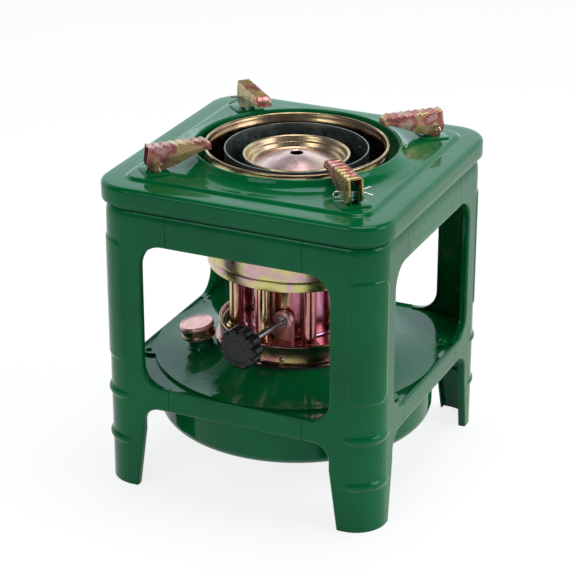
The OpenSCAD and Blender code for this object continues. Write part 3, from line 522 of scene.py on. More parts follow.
def neckBack(s, z):      # how far the sheet has drawn back at the rounded shoulder
    t = min(1, max(0, (z - s["shoulderLow"]) / s["shoulderTall"]))
    return s["neckIn"] * (1 - math.sqrt(1 - t * t))


def legRelief(s, u, z, half):      # how far the sheet stands out at a distance u from the corner's middle
    side = half + s["face"] - s["corner"] - s["panelEdge"] - u
    end = min(z - s["panelLow"], s["panelHigh"] - z)
    inX, inZ = s["panelR"] - side, s["panelR"] - end
    inside = s["panelR"] - math.hypot(inX, inZ) if inX > 0 and inZ > 0 else min(side, end)
    out = s["panelRise"] * smoothUp(inside / s["panelSoft"] + 0.5)
    for mid in s["ribs"]:
        high = s["ribRise"] * (1 - (u / s["ribSpan"]) ** 2)
        lift = math.sqrt(max(0, s["ribR"] ** 2 - (z - mid) ** 2)) - (s["ribR"] - high)
        out += max(0, lift)
    return out - neckBack(s, z)


def legPoint(s, u, z):      # front left corner, u runs from its middle towards the front face
    half = s["corner"] * math.pi / 4
    mid = s["corner"] - s["face"]
    out = legRelief(s, u, z, half)
    if u < half:
        angle = math.radians(225) + u / s["corner"]
        r = s["corner"] + out
        return Vector((mid + r * math.cos(angle), mid + r * math.sin(angle), z))
    return Vector((mid + u - half, -s["face"] - out, z))


def legSheet(s, rows):      # one half of a leg from a grid, and the rows of the vertices at its inner edge
    half = s["corner"] * math.pi / 4
    fixed, free = s["cornerCells"], s["faceCells"]
    inner = half + s["cornerPast"]
    bm = bmesh.new()
    bmesh.ops.create_grid(bm, x_segments=fixed + free, y_segments=len(rows) - 1, size=1)
    edgeRow = {}
    for v in bm.verts:
        i = round((v.co.x + 1) / 2 * (fixed + free))
        j = round((v.co.y + 1) / 2 * (len(rows) - 1))
        z, edge = rows[j]
        reach = half + s["face"] - s["corner"] - edge
        u = inner * i / fixed if i <= fixed else inner + (reach - inner) * (i - fixed) / free
        v.co = legPoint(s, u, z)
        if i == fixed + free:
            edgeRow[v] = j
    return bm, edgeRow


def spotKey(co):
    return tuple(round(c, 4) for c in co)


def foldIn(s, bm, rows, edgeRow):      # turns in the edges of the window, the arch and the foot
    edges = []
    for e in bm.edges:
        a, b = e.verts
        if a in edgeRow and b in edgeRow:
            if {rows[edgeRow[a]][1], rows[edgeRow[b]][1]} != {s["armEnd"]}:
                edges.append(e)
    linked = {}
    for e in edges:
        for a, b in ((e.verts[0], e.verts[1]), (e.verts[1], e.verts[0])):
            linked.setdefault(a, []).append(b)
    outward, start = {}, {}
    for v, near in linked.items():      # the way into the opening, square to the edge
        ends = sorted([v, *near], key=lambda p: edgeRow[p])
        along = (ends[-1].co - ends[0].co).normalized()
        outward[spotKey(v.co)] = Vector((along.z, 0, -along.x))
        start[spotKey(v.co)] = v.co.copy()
    turns = [math.radians(a) for a in (30, 60, 90)]
    bends = [(s["fold"] * math.sin(a), s["fold"] * (1 - math.cos(a))) for a in turns]
    bends.append((s["fold"], s["foldDeep"]))
    owner = {key: key for key in start}
    for across, deep in bends:
        fresh = {}

        def place(co):
            root = owner[spotKey(co)]
            spot = start[root] + outward[root] * across + Vector((0, deep, 0))
            spot.z = max(0, spot.z)
            fresh[spotKey(spot)] = root
            return spot
        edges = extrudeTo(bm, edges, place)
        owner = fresh


def legShape(s):
    rows = legRows(s)
    bm, edgeRow = legSheet(s, rows)
    foldIn(s, bm, rows, edgeRow)
    other = bmesh.ops.duplicate(bm, geom=bm.verts[:] + bm.edges[:] + bm.faces[:])["geom"]
    swapped = Matrix(((0, 1, 0, 0), (1, 0, 0, 0), (0, 0, 1, 0), (0, 0, 0, 1)))      # mirrors the half
    bmesh.ops.transform(bm, matrix=swapped, verts=vertsOf(other))
    bmesh.ops.remove_doubles(bm, verts=bm.verts, dist=0.002)
    faceAlong(bm, lambda p: Vector((p.x, p.y, 0)))
    return bm


for turn, name in enumerate(("leg_front_left", "leg_front_right", "leg_back_right", "leg_back_left")):
    leg = legShape(legSet)
    movedBy(leg, Matrix.Rotation(turn * math.pi / 2, 4, "Z"))
    finishPiece(name + "_pressed", leg, enamel, "frame", [name], 40, legSet["sheet"])
print("legs made")

# upper rails between the legs, with the same shoulder and fold

railSet = {"half": 49.3, "steps": 6, "lapHalf": 2.5, "lapMid": 49.45, "lapDeep": 1.25, "lapFrom": 6}


def sheetStrip(bm, line, half, steps, mid=0):      # a bent strip along the front face, from its section
    verts = [bm.verts.new((mid - half, -legSet["face"] + deep, z)) for deep, z in line]
    edges = [bm.edges.new(pair) for pair in zip(verts, verts[1:])]
    for i in range(steps):
        edges = extrudeTo(bm, edges, lambda co: co + Vector((2 * half / steps, 0, 0)))


def railSection(s):
    f, low = s["fold"], s["windowTop"]
    line = [(s["foldDeep"], low), (f + 1, low)]
    line += [(f + x, low + f + z) for x, z in arc(0, 0, f, 270, 180, 4)]
    line += [(0, low + 6), (0, low + 10)]
    line += [(neckBack(s, z), z) for z in shoulderRows(s)]
    return line + [(s["neckIn"], s["top"] - 8), (s["neckIn"], s["top"])]


def upperRail(s):
    bm = bmesh.new()
    section = railSection(legSet)
    sheetStrip(bm, section, s["half"], s["steps"])
    lap = [(deep + s["lapDeep"], z) for deep, z in section[s["lapFrom"]:]]      # welded laps behind the seams
    for side in (-1, 1):
        sheetStrip(bm, lap, s["lapHalf"], 1, side * s["lapMid"])
    faceAlong(bm, lambda p: Vector((0, -1, 0)))
    return bm


for turn, name in enumerate(("rail_front", "rail_right", "rail_back", "rail_left")):
    rail = upperRail(railSet)
    movedBy(rail, Matrix.Rotation(turn * math.pi / 2, 4, "Z"))
    finishPiece(name + "_pressed", rail, enamel, "frame", [name], 40, legSet["sheet"])

# shelf with turned down rims

shelfSet = {"top": 76.8, "half": 101.0, "corner": 21, "holeR": 97.6, "rimTop": 78, "rimLow": 62, "bend": 1.6,
            "around": 192}


def shelfPan(s):
    bm = bmesh.new()
    hole, top, b = s["holeR"], s["top"], s["bend"]
    first = bmesh.ops.create_circle(bm, cap_ends=False, segments=s["around"], radius=hole)["verts"]
    for v, angle in zip(first, squareAngles(s["half"], s["corner"], s["around"])):
        v.co = Vector((hole * math.cos(angle), hole * math.sin(angle), top))
    edges = bm.edges[:]
    for mix in (0.7, 0.35, 0.0):
        edges = extrudeTo(bm, edges, ringPlace((s["half"], s["corner"], hole, mix, top)))
    line = [(7, top + 0.02), (3.4, top + 0.1), (2.6, top + 0.6)]
    line += [(b + x, s["rimTop"] - b + z) for x, z in arc(0, 0, b, 90, 180, 5)]
    line += [(0, 72), (0, 66)]
    line += [(b + x, s["rimLow"] + b + z) for x, z in arc(0, 0, b, 180, 270, 4)]
    line += [(4, s["rimLow"])]
    rims = bmesh.new()
    sheetStrip(rims, line, railSet["half"], railSet["steps"])
    repeatRound(rims, 4)
    joinInto(bm, rims)
    faceAlong(bm, lambda p: Vector((p.x, p.y, 60)))
    return finishPiece("shelfPressed", bm, enamel, "frame", ["shelf_pan"], 40,
                       legSet["sheet"])


shelfPan(shelfSet)
print("rails and shelf made")

# tank: drawn pan, seam and flared top with its tabs

tankSet = {"r": 97, "low": 33, "round": 8, "seamR": 100.2, "seamZ": 76.8, "lidZ": 77.8, "lidRim": 1,
           "sheet": 1.0, "lidSheet": 0.8, "seatR": 57.2, "seatZ": 86.3, "wellR": 50, "flareSteps": 28,
           "steps": 144, "tabs": (28, 152, 208, 332), "tabRoot": 98, "tabMid": 101.5, "tabHalf": 7,
           "tabSheet": 0.85, "tabLift": 0.05}


def tankPan(s):
    r, low, bend, seam = s["r"], s["low"], s["round"], s["seamZ"]
    line = [(0.5, low), (30, low), (60, low), (r - bend, low)]
    line += arc(r - bend, low + bend, bend, -90, 0, 10)[1:]
    line += [(r, 55), (r, 70), (r, seam - 1), (r + 0.3, seam - 0.3), (r + 1, seam), (s["seamR"], seam)]
    bm = bmesh.new()
    spinLoop(bm, wallLoop(line, s["sheet"]), s["steps"])
    return finishPiece("tankPan", bm, enamel, "frame", ["tank_body"], 40)


def tankLid(s):
    rim, low, seat, well = s["seamR"], s["lidZ"], s["seatR"], s["seatZ"]
    top = low + s["lidRim"]
    line = [(rim, low + 0.25), (rim, low + 0.9), (rim - 0.1, top), (rim - 0.25, top), (rim - 1.5, top)]
    for i in range(s["flareSteps"] + 1):
        t = i / s["flareSteps"]
        line.append((s["r"] - (s["r"] - seat) * t, top + (well - top) * (1 - math.cos(math.pi / 2 * t))))
    line += [(seat - 0.6, well + 0.02), (seat - 2, well), (s["wellR"], well)]
    bm = bmesh.new()
    spinLoop(bm, wallLoop(line, s["lidSheet"]), s["steps"])
    tabs = bmesh.new()
    root, half = s["tabRoot"], s["tabHalf"]
    outline = [(root, -half), *arc(s["tabMid"], 0, half, -90, 90, 12), (root, half)]
    for a in s["tabs"]:
        spin = Matrix.Rotation(math.radians(a), 3, "Z")
        plate = [spin @ Vector((x, y, low + s["tabLift"])) for x, y in outline]
        pulledPlate(tabs, plate, (0, 0, s["tabSheet"]))
    bmesh.ops.recalc_face_normals(tabs, faces=tabs.faces)
    joinInto(bm, tabs)
    return finishPiece("tankLid", bm, enamel, "frame", ["tank_top"], 40)


tankPan(tankSet)
tankLid(tankSet)
print("tank made")

# filler neck and cap on their tilted axis

fillerSet = {"neckR": 8.5, "neckLen": 20.5, "neckSheet": 0.9, "footR": 10.5, "capR": 12.2, "capLow": 13.0,
             "capTop": 23.5, "steps": 72}
fillerAxis = Vector(joints["cap_turn"]["axis"])
fillerTilt = Vector((0, 0, 1)).rotation_difference(fillerAxis).to_matrix().to_4x4()
fillerPlace = Matrix.Translation(Vector(joints["cap_turn"]["pos_m"]) / mm) @ fillerTilt


def fillerNeck(s):
    r, top = s["neckR"], s["neckLen"]
    line = [(s["footR"] + 1.5, 1.5), (s["footR"], 5.2), (r + 0.7, 6.4), (r, 8), (r, 12)]
    line += [(r, top - 4), (r + 0.25, top - 2.7), (r, top - 1.4), (r - 0.1, top - 0.3), (r - 0.5, top)]
    bm = bmesh.new()
    spinLoop(bm, wallLoop(line, s["neckSheet"]), s["steps"])
    movedBy(bm, fillerPlace)
    return finishPiece("fillerNeck", bm, enamel, "frame", ["filler_neck"], 50)


def fillerCap(s):
    r, low, top = s["capR"], s["capLow"], s["capTop"]
    loop = [(0, top - 0.35), (9.6, top - 0.35), (10.3, top - 0.3), (10.9, top - 0.05), (11.4, top)]
    loop += [(11.9, top - 0.25), (r, top - 0.8), (r, top - 3.4), (r - 0.3, top - 3.8)]
    loop += [(r - 0.95, top - 4.1), (r - 0.95, low + 3.2), (r - 0.5, low + 2.7), (r - 0.05, low + 2.1)]
    loop += [(r, low + 1.2), (r - 0.3, low + 0.3), (r - 0.9, low), (9.4, low), (9.3, low + 0.4)]
    loop += [(9.3, top - 1.5), (0, top - 1.5)]
    bm = bmesh.new()
    spinLoop(bm, loop, s["steps"], closed=False)
    for f in bm.faces:      # the groove under the rim is painted dark bronze: painted shade under the overhanging rim
        mid = f.calc_center_median()
        f.material_index = int(low + 1.5 < mid.z < top - 3.5 and mid.xy.length > r - 1.2)
    movedBy(bm, fillerPlace)
    return finishPiece("fillerCap", bm, zincRose, "cap", ["filler_cap"], 40,
                       second=zincShadeAndRimBronze)


fillerNeck(fillerSet)
fillerCap(fillerSet)
print("filler made")

# burner: gallery, wick tubes, air tube, plate

burnerAxis = Vector(joints["knob_turn"]["axis"])
burnerTurn = Matrix.Rotation(math.atan2(-burnerAxis.x, burnerAxis.y), 4, "Z")
burnerSet = {"steps": 144, "flangeR": 57.0, "flangeZ": 87.8, "wallR": 54, "rimZ": 102.8, "floorZ": 98.5,
             "tubes": 8, "tubeRing": 42.5, "tubeR": 5, "tubeTop": 157.5, "tubeSteps": 40, "airR": 30,
             "airSheet": 0.8, "plateZ": 153.5, "plateR": 62, "plateRim": 7}


def gallery(s):
    f, w, top, rim, floor = s["flangeZ"], s["wallR"], s["rimZ"], s["flangeR"], s["floorZ"]
    loop = [(50, f), (rim - 0.6, f), (rim - 0.1, f + 0.3), (rim, f + 0.9), (rim - 0.4, f + 1.5)]
    loop += [(w + 1.6, f + 1.7), (w + 0.8, f + 1.9), (w + 0.25, f + 2.4), (w, f + 3.2), (w, f + 8)]
    loop += [(w, top - 1.8)] + [(w + x, top - 0.9 + z) for x, z in arc(-0.4, 0, 0.9, -10, 190, 8)]
    loop += [(w - 1.1, top - 2), (w - 1.1, floor + 1.4), (w - 1.6, floor + 0.4), (w - 2.6, floor)]
    loop += [(40, floor), (20, floor), (0, floor)]
    bm = bmesh.new()
    spinLoop(bm, loop, s["steps"], closed=False)
    return finishPiece("galleryDish", bm, zincOlive, "frame", ["gallery"], 40)


def wickTubes(s):
    r, z, top = s["tubeR"], s["floorZ"], s["tubeTop"]
    loop = [(r + 2.4, z), (r + 2.3, z + 0.6), (r + 1.2, z + 0.9), (r + 0.7, z + 1.3), (r + 0.9, z + 2.0)]
    loop += [(r + 0.8, z + 2.6), (r + 0.1, z + 3.1), (r, z + 4), (r, 120), (r, 140), (r, top - 0.3)]
    loop += [(r - 0.1, top), (r - 0.4, top), (r - 0.5, top - 0.3), (r - 0.5, 140), (r - 0.5, z)]
    bm = bmesh.new()
    spinLoop(bm, loop, s["tubeSteps"])
    bmesh.ops.translate(bm, vec=(s["tubeRing"], 0, 0), verts=bm.verts)
    repeatRound(bm, s["tubes"])
    movedBy(bm, burnerTurn)
    return finishPiece("wickTubes", bm, zincTall, "frame", ["wick_tubes"], 40)


def airTube(s):
    r, z, top = s["airR"], s["floorZ"], s["plateZ"] - 1.2
    line = [(r + 1.2, z), (r + 0.6, z + 0.5), (r + 0.1, z + 1.4), (r, z + 2.6)]
    line += [(r, 115), (r, 130), (r, 140), (r, top)]
    bm = bmesh.new()
    spinLoop(bm, wallLoop(line, s["airSheet"]), s["steps"])
    movedBy(bm, burnerTurn)
    return finishPiece("airTube", bm, zincMaroon, "frame", ["air_tube"], 40)


def burnerPlate(s):
    r, z, low = s["plateR"], s["plateZ"], s["plateZ"] - s["plateRim"]
    loop = [(29.2, z), (45, z), (r - 1.4, z)]
    loop += [(r - 1.2 + x, z - 1.2 + y) for x, y in arc(0, 0, 1.2, 90, 0, 5)]
    loop += [(r, z - 3), (r, low + 0.8), (r - 0.2, low + 0.2), (r - 0.6, low), (r - 1.0, low + 0.3)]
    loop += [(r - 1.1, z - 2.4), (r - 1.8, z - 1.3), (52.5, z - 1.2), (52, z - 1.6), (52, low - 1.4)]
    loop += [(51.4, low - 1.9), (50.8, low - 1.4), (50.8, z - 1.4), (45, z - 1.2), (29.2, z - 1.2)]
    bm = bmesh.new()
    spinLoop(bm, loop, s["steps"])
    movedBy(bm, burnerTurn)
    return finishPiece("burnerPlate", bm, zincBroad, "frame", ["burner_plate"], 40)


gallery(burnerSet)
wickTubes(burnerSet)
airTube(burnerSet)
burnerPlate(burnerSet)

# burner head: outer drum, two perforated rings, dished lid

headSet = {"steps": 168, "z": 153.5, "sheet": 0.7, "drumR": 63, "drumTop": 231.5, "holeR": 1.0,
           "rows": (0.3, 0.6, 0.9), "cells": 6, "dishZ": 224.5, "dishHole": 4.4, "floorR": 30.5}
flameRings = {"outer": (49.5, 228.5, 18), "inner": (36, 223.5, 12)}      # radius, top and holes in a row


def outerDrum(s):
    r, z, top = s["drumR"], s["z"], s["drumTop"]
    line = [(r - 6, z + 0.1), (r - 1.6, z + 0.1)]
    line += [(r - 1.4 + x, z + 1.5 + y) for x, y in arc(0, 0, 1.4, -90, 0, 4)]
    line += [(r, z + 4), (r, z + 20), (r, z + 38)]
    line += [(r + 0.7 * math.sin(math.pi * i / 6) ** 2, z + 39.5 + i) for i in range(7)]
    line += [(r, z + 50), (r, top - 12)]
    line += [(r - 1.3 * math.sin(math.pi * i / 8) ** 2, top - 11 + i) for i in range(9)]
    line += [(r + 0.15, top - 2.4)] + [(r - 0.4 + x, top - 1.1 + y) for x, y in arc(0, 0, 1.1, 0, 150, 7)]
    bm = bmesh.new()
    spinLoop(bm, wallLoop(line, s["sheet"]), s["steps"])
    for f in bm.faces:      # the inside is painted dark bronze as painted shade inside the drum; the rim takes the same dark bronze
        mid = f.calc_center_median()
        inner = f.normal.dot(Vector((mid.x, mid.y, 0))) < -1 or f.normal.z > 0.9 and mid.z < top - 5
        f.material_index = int(inner or mid.z > top - 2.4)
    return finishPiece("outerDrum", bm, zincBroad, "burner_head", ["outer_drum"], 40,
                       second=zincShadeAndRimBronze)


def flameRing(s, kind, r, top, count):
    z, tall, size = s["z"], top - s["z"], s["holeR"]
    cells = count * s["cells"]
    heights = {z, z + 0.7, z + 6, top - 0.8, top}
    for row in s["rows"]:
        mid = z + tall * row
        heights |= {mid - 4, mid - size * 1.6, mid + size * 1.6, mid + 4}
    heights = sorted({round(h, 3) for h in heights if h <= top})
    bm = bmesh.new()
    spinLoop(bm, [(r, h) for h in heights], cells, closed=False)
    cuts = []
    for f in bm.faces:
        mid = f.calc_center_median()
        turn = math.degrees(math.atan2(mid.y, mid.x)) % 360 * count / 360
        near = min(abs(mid.z - z - tall * row) for row in s["rows"]) < 0.5
        if near and abs(turn % 1 - 0.5) < 0.6 * count / cells:
            cuts.append(f)
    bmesh.ops.dissolve_faces(bm, faces=cuts)      # two cells meet at each hole: joined, then rounded
    holes = [f for f in bm.faces if len(f.verts) > 4]
    bmesh.ops.inset_individual(bm, faces=holes, thickness=0.25, use_even_offset=True)
    for f in holes:
        mid = f.calc_center_median()
        across = Vector((-mid.y, mid.x, 0)).normalized()
        for v in f.verts:
            d = v.co - mid
            way = Vector((d.dot(across), d.z)).normalized() * size
            flat = mid + across * way.x + Vector((0, 0, way.y))
            v.co = Vector((flat.x, flat.y, 0)).normalized() * r + Vector((0, 0, flat.z))
    bmesh.ops.delete(bm, geom=holes, context="FACES")
    low = [e for e in bm.edges if e.is_boundary and all(abs(v.co.z - z) < 0.01 for v in e.verts)]
    extrudeTo(bm, low, lambda co: Vector((co.x * (r + 1) / r, co.y * (r + 1) / r, co.z)))
    faceAlong(bm, lambda p: Vector((p.x, p.y, 0)))
    return finishPiece(kind + "FlameRing", bm, burntSteel, "burner_head",
                       [kind + "_flame_ring"], 40, s["sheet"])


def dishLid(s):
    top, hole = s["dishZ"], s["dishHole"]
    line = [(hole, top - 0.9), (hole + 0.05, top - 0.3), (hole + 0.5, top), (hole + 3, top - 0.35)]
    line += [(hole + 7, top - 1.5), (16, top - 3.1), (21, top - 5.0), (25, top - 6.5), (28, top - 7.5)]
    line += [(29.6, top - 7.9), (30.8, top - 7.8), (31.7, top - 7.1), (32.2, top - 5.8), (32.6, top - 4.7)]
    line += [(33.1, top - 4.2), (33.6, top - 3.8), (34.0, top - 3), (34.4, top - 1.6), (34.8, top - 0.6)]
    line += [(35.4, top - 0.1), (36.1, top), (36.7, top - 0.25), (37, top - 0.9)]
    bm = bmesh.new()
    spinLoop(bm, wallLoop(line, -s["sheet"]), s["steps"])
    for f in bm.faces:      # the wall round the floor is more golden and darker: a golden tone with painted shade on the dish's wall
        f.material_index = int(f.calc_center_median().xy.length > s["floorR"])
    return finishPiece("dishLid", bm, zincPink, "burner_head", ["centre_dish"], 40,
                       second=zincBrass)


outerDrum(headSet)
for kind, ring in flameRings.items():
    flameRing(headSet, kind, *ring)
dishLid(headSet)
print("burner made")

# wick lift: arched bracket and lobed knob

liftSet = {"x": 10.5, "z": 113, "bracketHalf": 7, "bracketFront": -33.6, "bracketBack": -29.6, "floorZ": 98.5,
           "edge": 0.5, "knobR": 15, "knobBack": -78, "knobFront": -89, "lobes": 10, "dentDeep": 0.19,
           "dentShape": 0.55, "around": 180}


def archBracket(s):
    bm = bmesh.new()
    half, front = s["bracketHalf"], s["bracketFront"]
    outline = [(half, s["floorZ"]), *arc(0, s["z"], half, 0, 180, 20), (-half, s["floorZ"])]
    pulledPlate(bm, [(s["x"] + x, front, z) for x, z in outline], (0, s["bracketBack"] - front, 0))
    bmesh.ops.recalc_face_normals(bm, faces=bm.faces)
    rim = [e for e in bm.edges if all(abs(v.co.y - front) < 0.01 for v in e.verts)]
    softEdges(bm, rim, s["edge"], 3)
    movedBy(bm, burnerTurn)
    return finishPiece("archBracket", bm, zincRose, "frame", ["bracket_front"], 40)


def lobedKnob(s):
    deep = s["knobBack"] - s["knobFront"]
    rings = [(0.30, 0, 0), (0.62, 0, 0), (0.86, 0.4, 0), (0.95, 0.8, 0.6), (1.0, 1, 1.8)]
    rings += [(1.0, 1, deep - 2.4), (0.985, 1, deep - 1.5), (0.95, 0.95, deep - 0.8)]
    rings += [(0.90, 0.8, deep - 0.35), (0.84, 0.5, deep - 0.1), (0.76, 0.2, deep), (0.70, 0, deep)]
    rings += [(0.67, 0, deep - 0.25)]
    rings += [(0.64, 0, deep - 0.55), (0.40, 0, deep - 0.6), (0.37, 0, deep - 0.45), (0.34, 0, deep - 0.4)]
    rings += [(0.1, 0, deep - 0.4)]

    def ringAt(size, lobe, along):
        def place(co):
            a = math.atan2(co.y, co.x)
            dent = 1 - abs(math.cos(a * s["lobes"] / 2)) ** s["dentShape"]
            r = s["knobR"] * (size - s["dentDeep"] * lobe * dent)
            return Vector((r * math.cos(a), r * math.sin(a), along))
        return place
    bm = bmesh.new()
    stackRings(bm, s["around"], [ringAt(*ring) for ring in rings])
    forward = Matrix.Rotation(math.pi / 2, 4, "X")
    movedBy(bm, burnerTurn @ Matrix.Translation((s["x"], s["knobBack"], s["z"])) @ forward)
    return finishPiece("lobedKnob", bm, knobPlastic, "knob_set", ["knob"], 45)


archBracket(liftSet)
lobedKnob(liftSet)
print("wick lift made")

# pot supports: ridged channels with tall rounded ears

supportSet = {"half": 5.1, "sheet": 1.1, "up": 11.5, "tail": 5.5, "reach": 38, "bend": 1.7, "earR": 6.8,
              "noseR": 4.5, "noseDeep": 7.0, "noseDrop": 0.8, "ridges": 8, "ridgeHigh": 0.62, "rake": 0.75,
              "crestHalf": 1.5, "slices": 120}


def pinPlace(angle):      # from a pin's own axes to its corner of the cover
    out = Matrix.Translation((hingeSet["ringR"], 0, hingeSet["pinZ"]))
    return Matrix.Rotation(math.radians(angle), 4, "Z") @ out


def webTop(s, x):      # top line along the support, turned down at its nose
    r = s["noseR"]
    past = max(0, r - s["reach"] - x)
    return s["up"] - s["noseDrop"] * (r - math.sqrt(max(0, r ** 2 - past ** 2)))


def webSection(s, x):      # the rounded web across the support, its ridges raked like saw teeth
    step, rake = s["ridges"] * (s["tail"] - x) / (s["tail"] + s["reach"]) % 1, s["rake"]
    wave = 1 - 2 * step / rake if step < rake else 2 * (step - rake) / (1 - rake) - 1
    top, b, h = webTop(s, x), s["bend"], s["half"]
    edge, crest = top - b, top - s["ridgeHigh"] * (1 - wave)
    turns = [math.radians(a) for a in (25, 50, 75, 90)]
    line = [(-h, edge)]
    line += [(-h + b * (1 - math.cos(a)), edge + (crest - edge) * math.sin(a)) for a in turns]
    line += [(-s["crestHalf"], crest)]
    return line + [(-y, z) for y, z in reversed(line)]


def wallOutline(s):      # lower edge of a wall, from the nose to the tail
    r, low = s["reach"], s["up"] - s["noseDeep"]
    line = [(-r, low), (2.5 - r, low), (4.5 - r, low + 0.3), (-31, 3.9), (-26, 1.9), (-21, 0.0)]
    return line + [(-16, -2.0), (-11, -4.2)] + arc(0, 0, s["earR"], 232, 372, 18)


def potSupport(s, name, angle):
    bm = bmesh.new()
    span = s["tail"] + s["reach"]
    row = [bm.verts.new((s["tail"], y, z)) for y, z in webSection(s, s["tail"])]
    edges = [bm.edges.new(pair) for pair in zip(row, row[1:])]
    for i in range(1, s["slices"] + 1):
        x = s["tail"] - span * i / s["slices"]
        lookup = {round(y, 3): (y, z) for y, z in webSection(s, x)}
        edges = extrudeTo(bm, edges, lambda co: Vector((x, *lookup[round(co.y, 3)])))
    ends = []
    for side in (-s["half"], s["half"]):
        upper = sorted((v for v in bm.verts if abs(v.co.y - side) < 0.001), key=lambda v: -v.co.x)
        lower = [bm.verts.new((x, side, z)) for x, z in wallOutline(s)]
        bm.faces.new(upper + lower)
        ends.append(lower[0])
    tip = [v for v in bm.verts if abs(v.co.x + s["reach"]) < 0.001 and v not in ends]
    bm.faces.new([ends[0], *sorted(tip, key=lambda v: v.co.y), ends[1]])
    faceAlong(bm, lambda p: Vector((0, p.y, p.z + 4)))
    movedBy(bm, pinPlace(angle))
    node = "support_" + name
    return finishPiece(node + "_ridged", bm, zincSupport, node, [node], 40, s["sheet"])


for name, angle in corners.items():
    potSupport(supportSet, name, angle)

# split pins: bent wire with an eye and two spread legs

pinSet = {"wire": 0.55, "gap": 0.5, "start": -6.6, "end": 6.6, "eyeLong": 7.0, "eyeHalf": 3.4, "legs": 7.0,
          "spread": 3.6}


def pinLine(s):      # from the tip of one leg round the eye to the tip of the other
    gap, start, end = s["gap"], s["start"], s["end"]
    points = [(0.4, end + s["legs"], -s["spread"]), (0.2, end + 2, -1.4)]
    points += [(0, end, -gap), (0, 0, -gap), (0, start, -gap)]
    for i in range(1, 12):
        a = math.pi * i / 12
        out = s["eyeLong"] * math.sin(a) * (0.6 + 0.4 * math.sin(a))
        points.append((0, start - out, -s["eyeHalf"] * math.sin(2 * a) * 0.5 - gap * math.cos(a)))
    points += [(0, start, gap), (0, 0, gap), (0, end, gap), (-0.2, end + 2, 1.2)]
    return points + [(-0.4, end + s["legs"] * 0.9, s["spread"] * 0.5)]


def bentWire(points, thick):
    curve = bpy.data.curves.new("wire", "CURVE")
    curve.dimensions = "3D"
    curve.bevel_depth = thick * mm
    curve.bevel_resolution = 4
    curve.use_fill_caps = True
    spline = curve.splines.new("NURBS")
    spline.points.add(len(points) - 1)
    spline.use_endpoint_u = True
    spline.order_u = 4
    for p, co in zip(spline.points, points):
        p.co = (*(c * mm for c in co), 1)
    bent = bpy.data.objects.new("wire", curve)
    scene.collection.objects.link(bent)
    bpy.context.view_layer.update()
    mesh = bpy.data.meshes.new_from_object(bent.evaluated_get(bpy.context.evaluated_depsgraph_get()))
    bm = bmesh.new()
    bm.from_mesh(mesh)
    bpy.data.objects.remove(bent)
    bpy.data.curves.remove(curve)
    bpy.data.meshes.remove(mesh)
    bmesh.ops.scale(bm, vec=(1 / mm, 1 / mm, 1 / mm), verts=bm.verts)
    bmesh.ops.remove_doubles(bm, verts=bm.verts, dist=0.001)
    bmesh.ops.recalc_face_normals(bm, faces=bm.faces)
    return bm


def splitPin(s, name, angle):
    bm = bentWire(pinLine(s), s["wire"])
    movedBy(bm, pinPlace(angle))
    node = "pin_" + name
    return finishPiece(node + "_bent", bm, wireSteel, "cover", [node], 60)


for name, angle in corners.items():
    splitPin(pinSet, name, angle)
print("supports made")

# wicks: braided cotton ropes

wickSet = {"r": 4.15, "low": 43, "top": 158.5, "strands": 6, "lay": 16, "braid": 0.1, "lowEnd": 0.7,
           "topEnd": 0.75, "around": 36, "rows": 110}


def braidedWicks(s):
    half, rows = s["strands"] / 2, s["rows"]

    def strandAt(z, size):
        def place(co):
            a = math.atan2(co.y, co.x)
            twist = 2 * math.pi * z / s["lay"]
            bump = abs(math.sin(half * a + twist)) * abs(math.sin(half * a - twist))
            r = s["r"] * size * (1 - s["braid"] + s["braid"] * math.sqrt(bump))
            return Vector((r * math.cos(a), r * math.sin(a), z))
        return place
    sizes = [s["lowEnd"]] + [1] * (rows - 1) + [s["topEnd"]]
    tall = s["top"] - s["low"]
    bm = bmesh.new()
    stackRings(bm, s["around"], [strandAt(s["low"] + tall * i / rows, size) for i, size in enumerate(sizes)])
    bmesh.ops.translate(bm, vec=(burnerSet["tubeRing"], 0, 0), verts=bm.verts)
    repeatRound(bm, burnerSet["tubes"])
    movedBy(bm, burnerTurn)
    return finishPiece("braidedWicks", bm, wickCotton, "wick_carrier", ["wicks"], 60)


braidedWicks(wickSet)
print("wicks made")

# studio: white floor, pale surroundings, soft lamps

studioSet = {"floorHalf": 6.0, "floorGrey": 0.86, "white": 1.1, "keep": 0.75, "front": 0.22, "back": 1.6,
             "frontY": -0.35, "backY": 0.25}
skyCast = [(0.0, (0.80, 0.96, 1)), (0.56, (0.80, 0.96, 1)), (0.68, (0.08, 0.09, 0.09)),
           (1.0, (0.05, 0.05, 0.05))]


def mathNode(tree, operation, value, other=None):
    node = tree.nodes.new("ShaderNodeMath")
    node.operation = operation
    tree.links.new(value, node.inputs[0])
    if other:
        tree.links.new(other, node.inputs[1])
    return node


def floorWhite(s):      # a grey cloth that cameras, reflections and glass see as mostly white
    mat = bpy.data.materials.new("studioFloor")
    mat.use_nodes = True
    tree = mat.node_tree
    tree.nodes.clear()
    out = tree.nodes.new("ShaderNodeOutputMaterial")
    cloth = tree.nodes.new("ShaderNodeBsdfDiffuse")
    cloth.inputs["Color"].default_value = (s["floorGrey"], s["floorGrey"], s["floorGrey"], 1)
    glow = tree.nodes.new("ShaderNodeEmission")
    glow.inputs["Strength"].default_value = s["white"]
    path = tree.nodes.new("ShaderNodeLightPath").outputs
    seen = mathNode(tree, "MAXIMUM", path["Is Camera Ray"], path["Is Glossy Ray"])
    seen = mathNode(tree, "MAXIMUM", seen.outputs[0], path["Is Transmission Ray"])
    share = mathNode(tree, "MULTIPLY", seen.outputs[0])
    share.inputs[1].default_value = s["keep"]
    mix = tree.nodes.new("ShaderNodeMixShader")
    tree.links.new(share.outputs[0], mix.inputs["Fac"])
    tree.links.new(cloth.outputs[0], mix.inputs[1])
    tree.links.new(glow.outputs[0], mix.inputs[2])
    tree.links.new(mix.outputs[0], out.inputs["Surface"])
    return mat


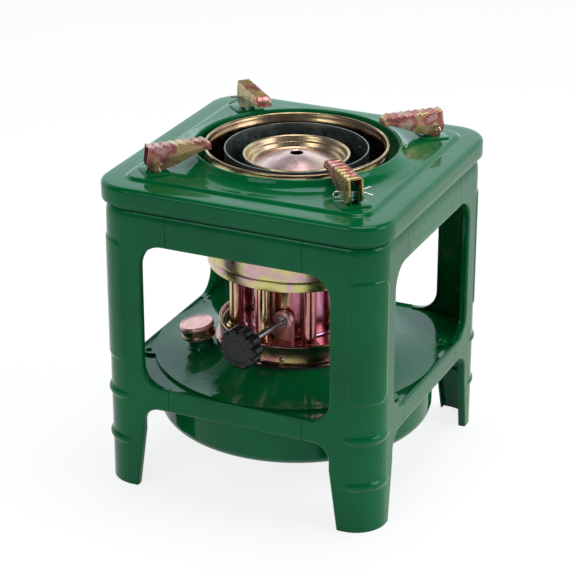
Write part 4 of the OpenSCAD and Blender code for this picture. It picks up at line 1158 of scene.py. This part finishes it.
def studioFloor(s):
    bm = bmesh.new()
    bmesh.ops.create_grid(bm, x_segments=2, y_segments=2, size=s["floorHalf"])
    mesh = bpy.data.meshes.new("studioFloor")
    bm.to_mesh(mesh)
    bm.free()
    mesh.materials.append(floorWhite(s))
    floor = bpy.data.objects.new("studioFloor", mesh)
    scene.collection.objects.link(floor)
    floor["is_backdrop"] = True


def paleWorld(s):      # bright behind the stove up to the height seen in its top, dark in front and overhead
    world = bpy.data.worlds.new("studioWorld")
    scene.world = world
    world.use_nodes = True
    tree = world.node_tree
    back = tree.nodes["Background"]
    place = tree.nodes.new("ShaderNodeTexCoord")
    split = tree.nodes.new("ShaderNodeSeparateXYZ")
    tree.links.new(place.outputs["Generated"], split.inputs[0])
    tree.links.new(ramp(tree, split.outputs["Z"], skyCast), back.inputs["Color"])
    depth = tree.nodes.new("ShaderNodeMapRange")
    depth.inputs["From Min"].default_value = s["frontY"]
    depth.inputs["From Max"].default_value = s["backY"]
    depth.inputs["To Min"].default_value = s["front"]
    depth.inputs["To Max"].default_value = s["back"]
    tree.links.new(split.outputs["Y"], depth.inputs["Value"])
    tree.links.new(depth.outputs["Result"], back.inputs["Strength"])


def softLamp(name, at, target, size, power):
    data = bpy.data.lights.new(name, "AREA")
    data.shape = "RECTANGLE"
    data.size, data.size_y = size
    data.energy = power
    lamp = bpy.data.objects.new(name, data)
    scene.collection.objects.link(lamp)
    lamp.location = at
    lamp.rotation_euler = (Vector(target) - Vector(at)).to_track_quat("-Z", "Y").to_euler()


studioFloor(studioSet)
paleWorld(studioSet)
softLamp("frontLamp", (-0.5, -1.6, 1.3), (0, 0, 0.1), (0.9, 0.9), 8)
softLamp("overLamp", (0.1, 0.2, 1.8), (0, 0, 0.2), (0.9, 0.9), 14)
softLamp("sideLamp", (1.5, 0.1, 0.9), (0, 0, 0.12), (0.8, 0.8), 8)
print("studio made")

rounded = lambda box: [[round(c, 6) for c in corner] for corner in box]
{"cad": rounded(cadBox), "visual": rounded(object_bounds())}
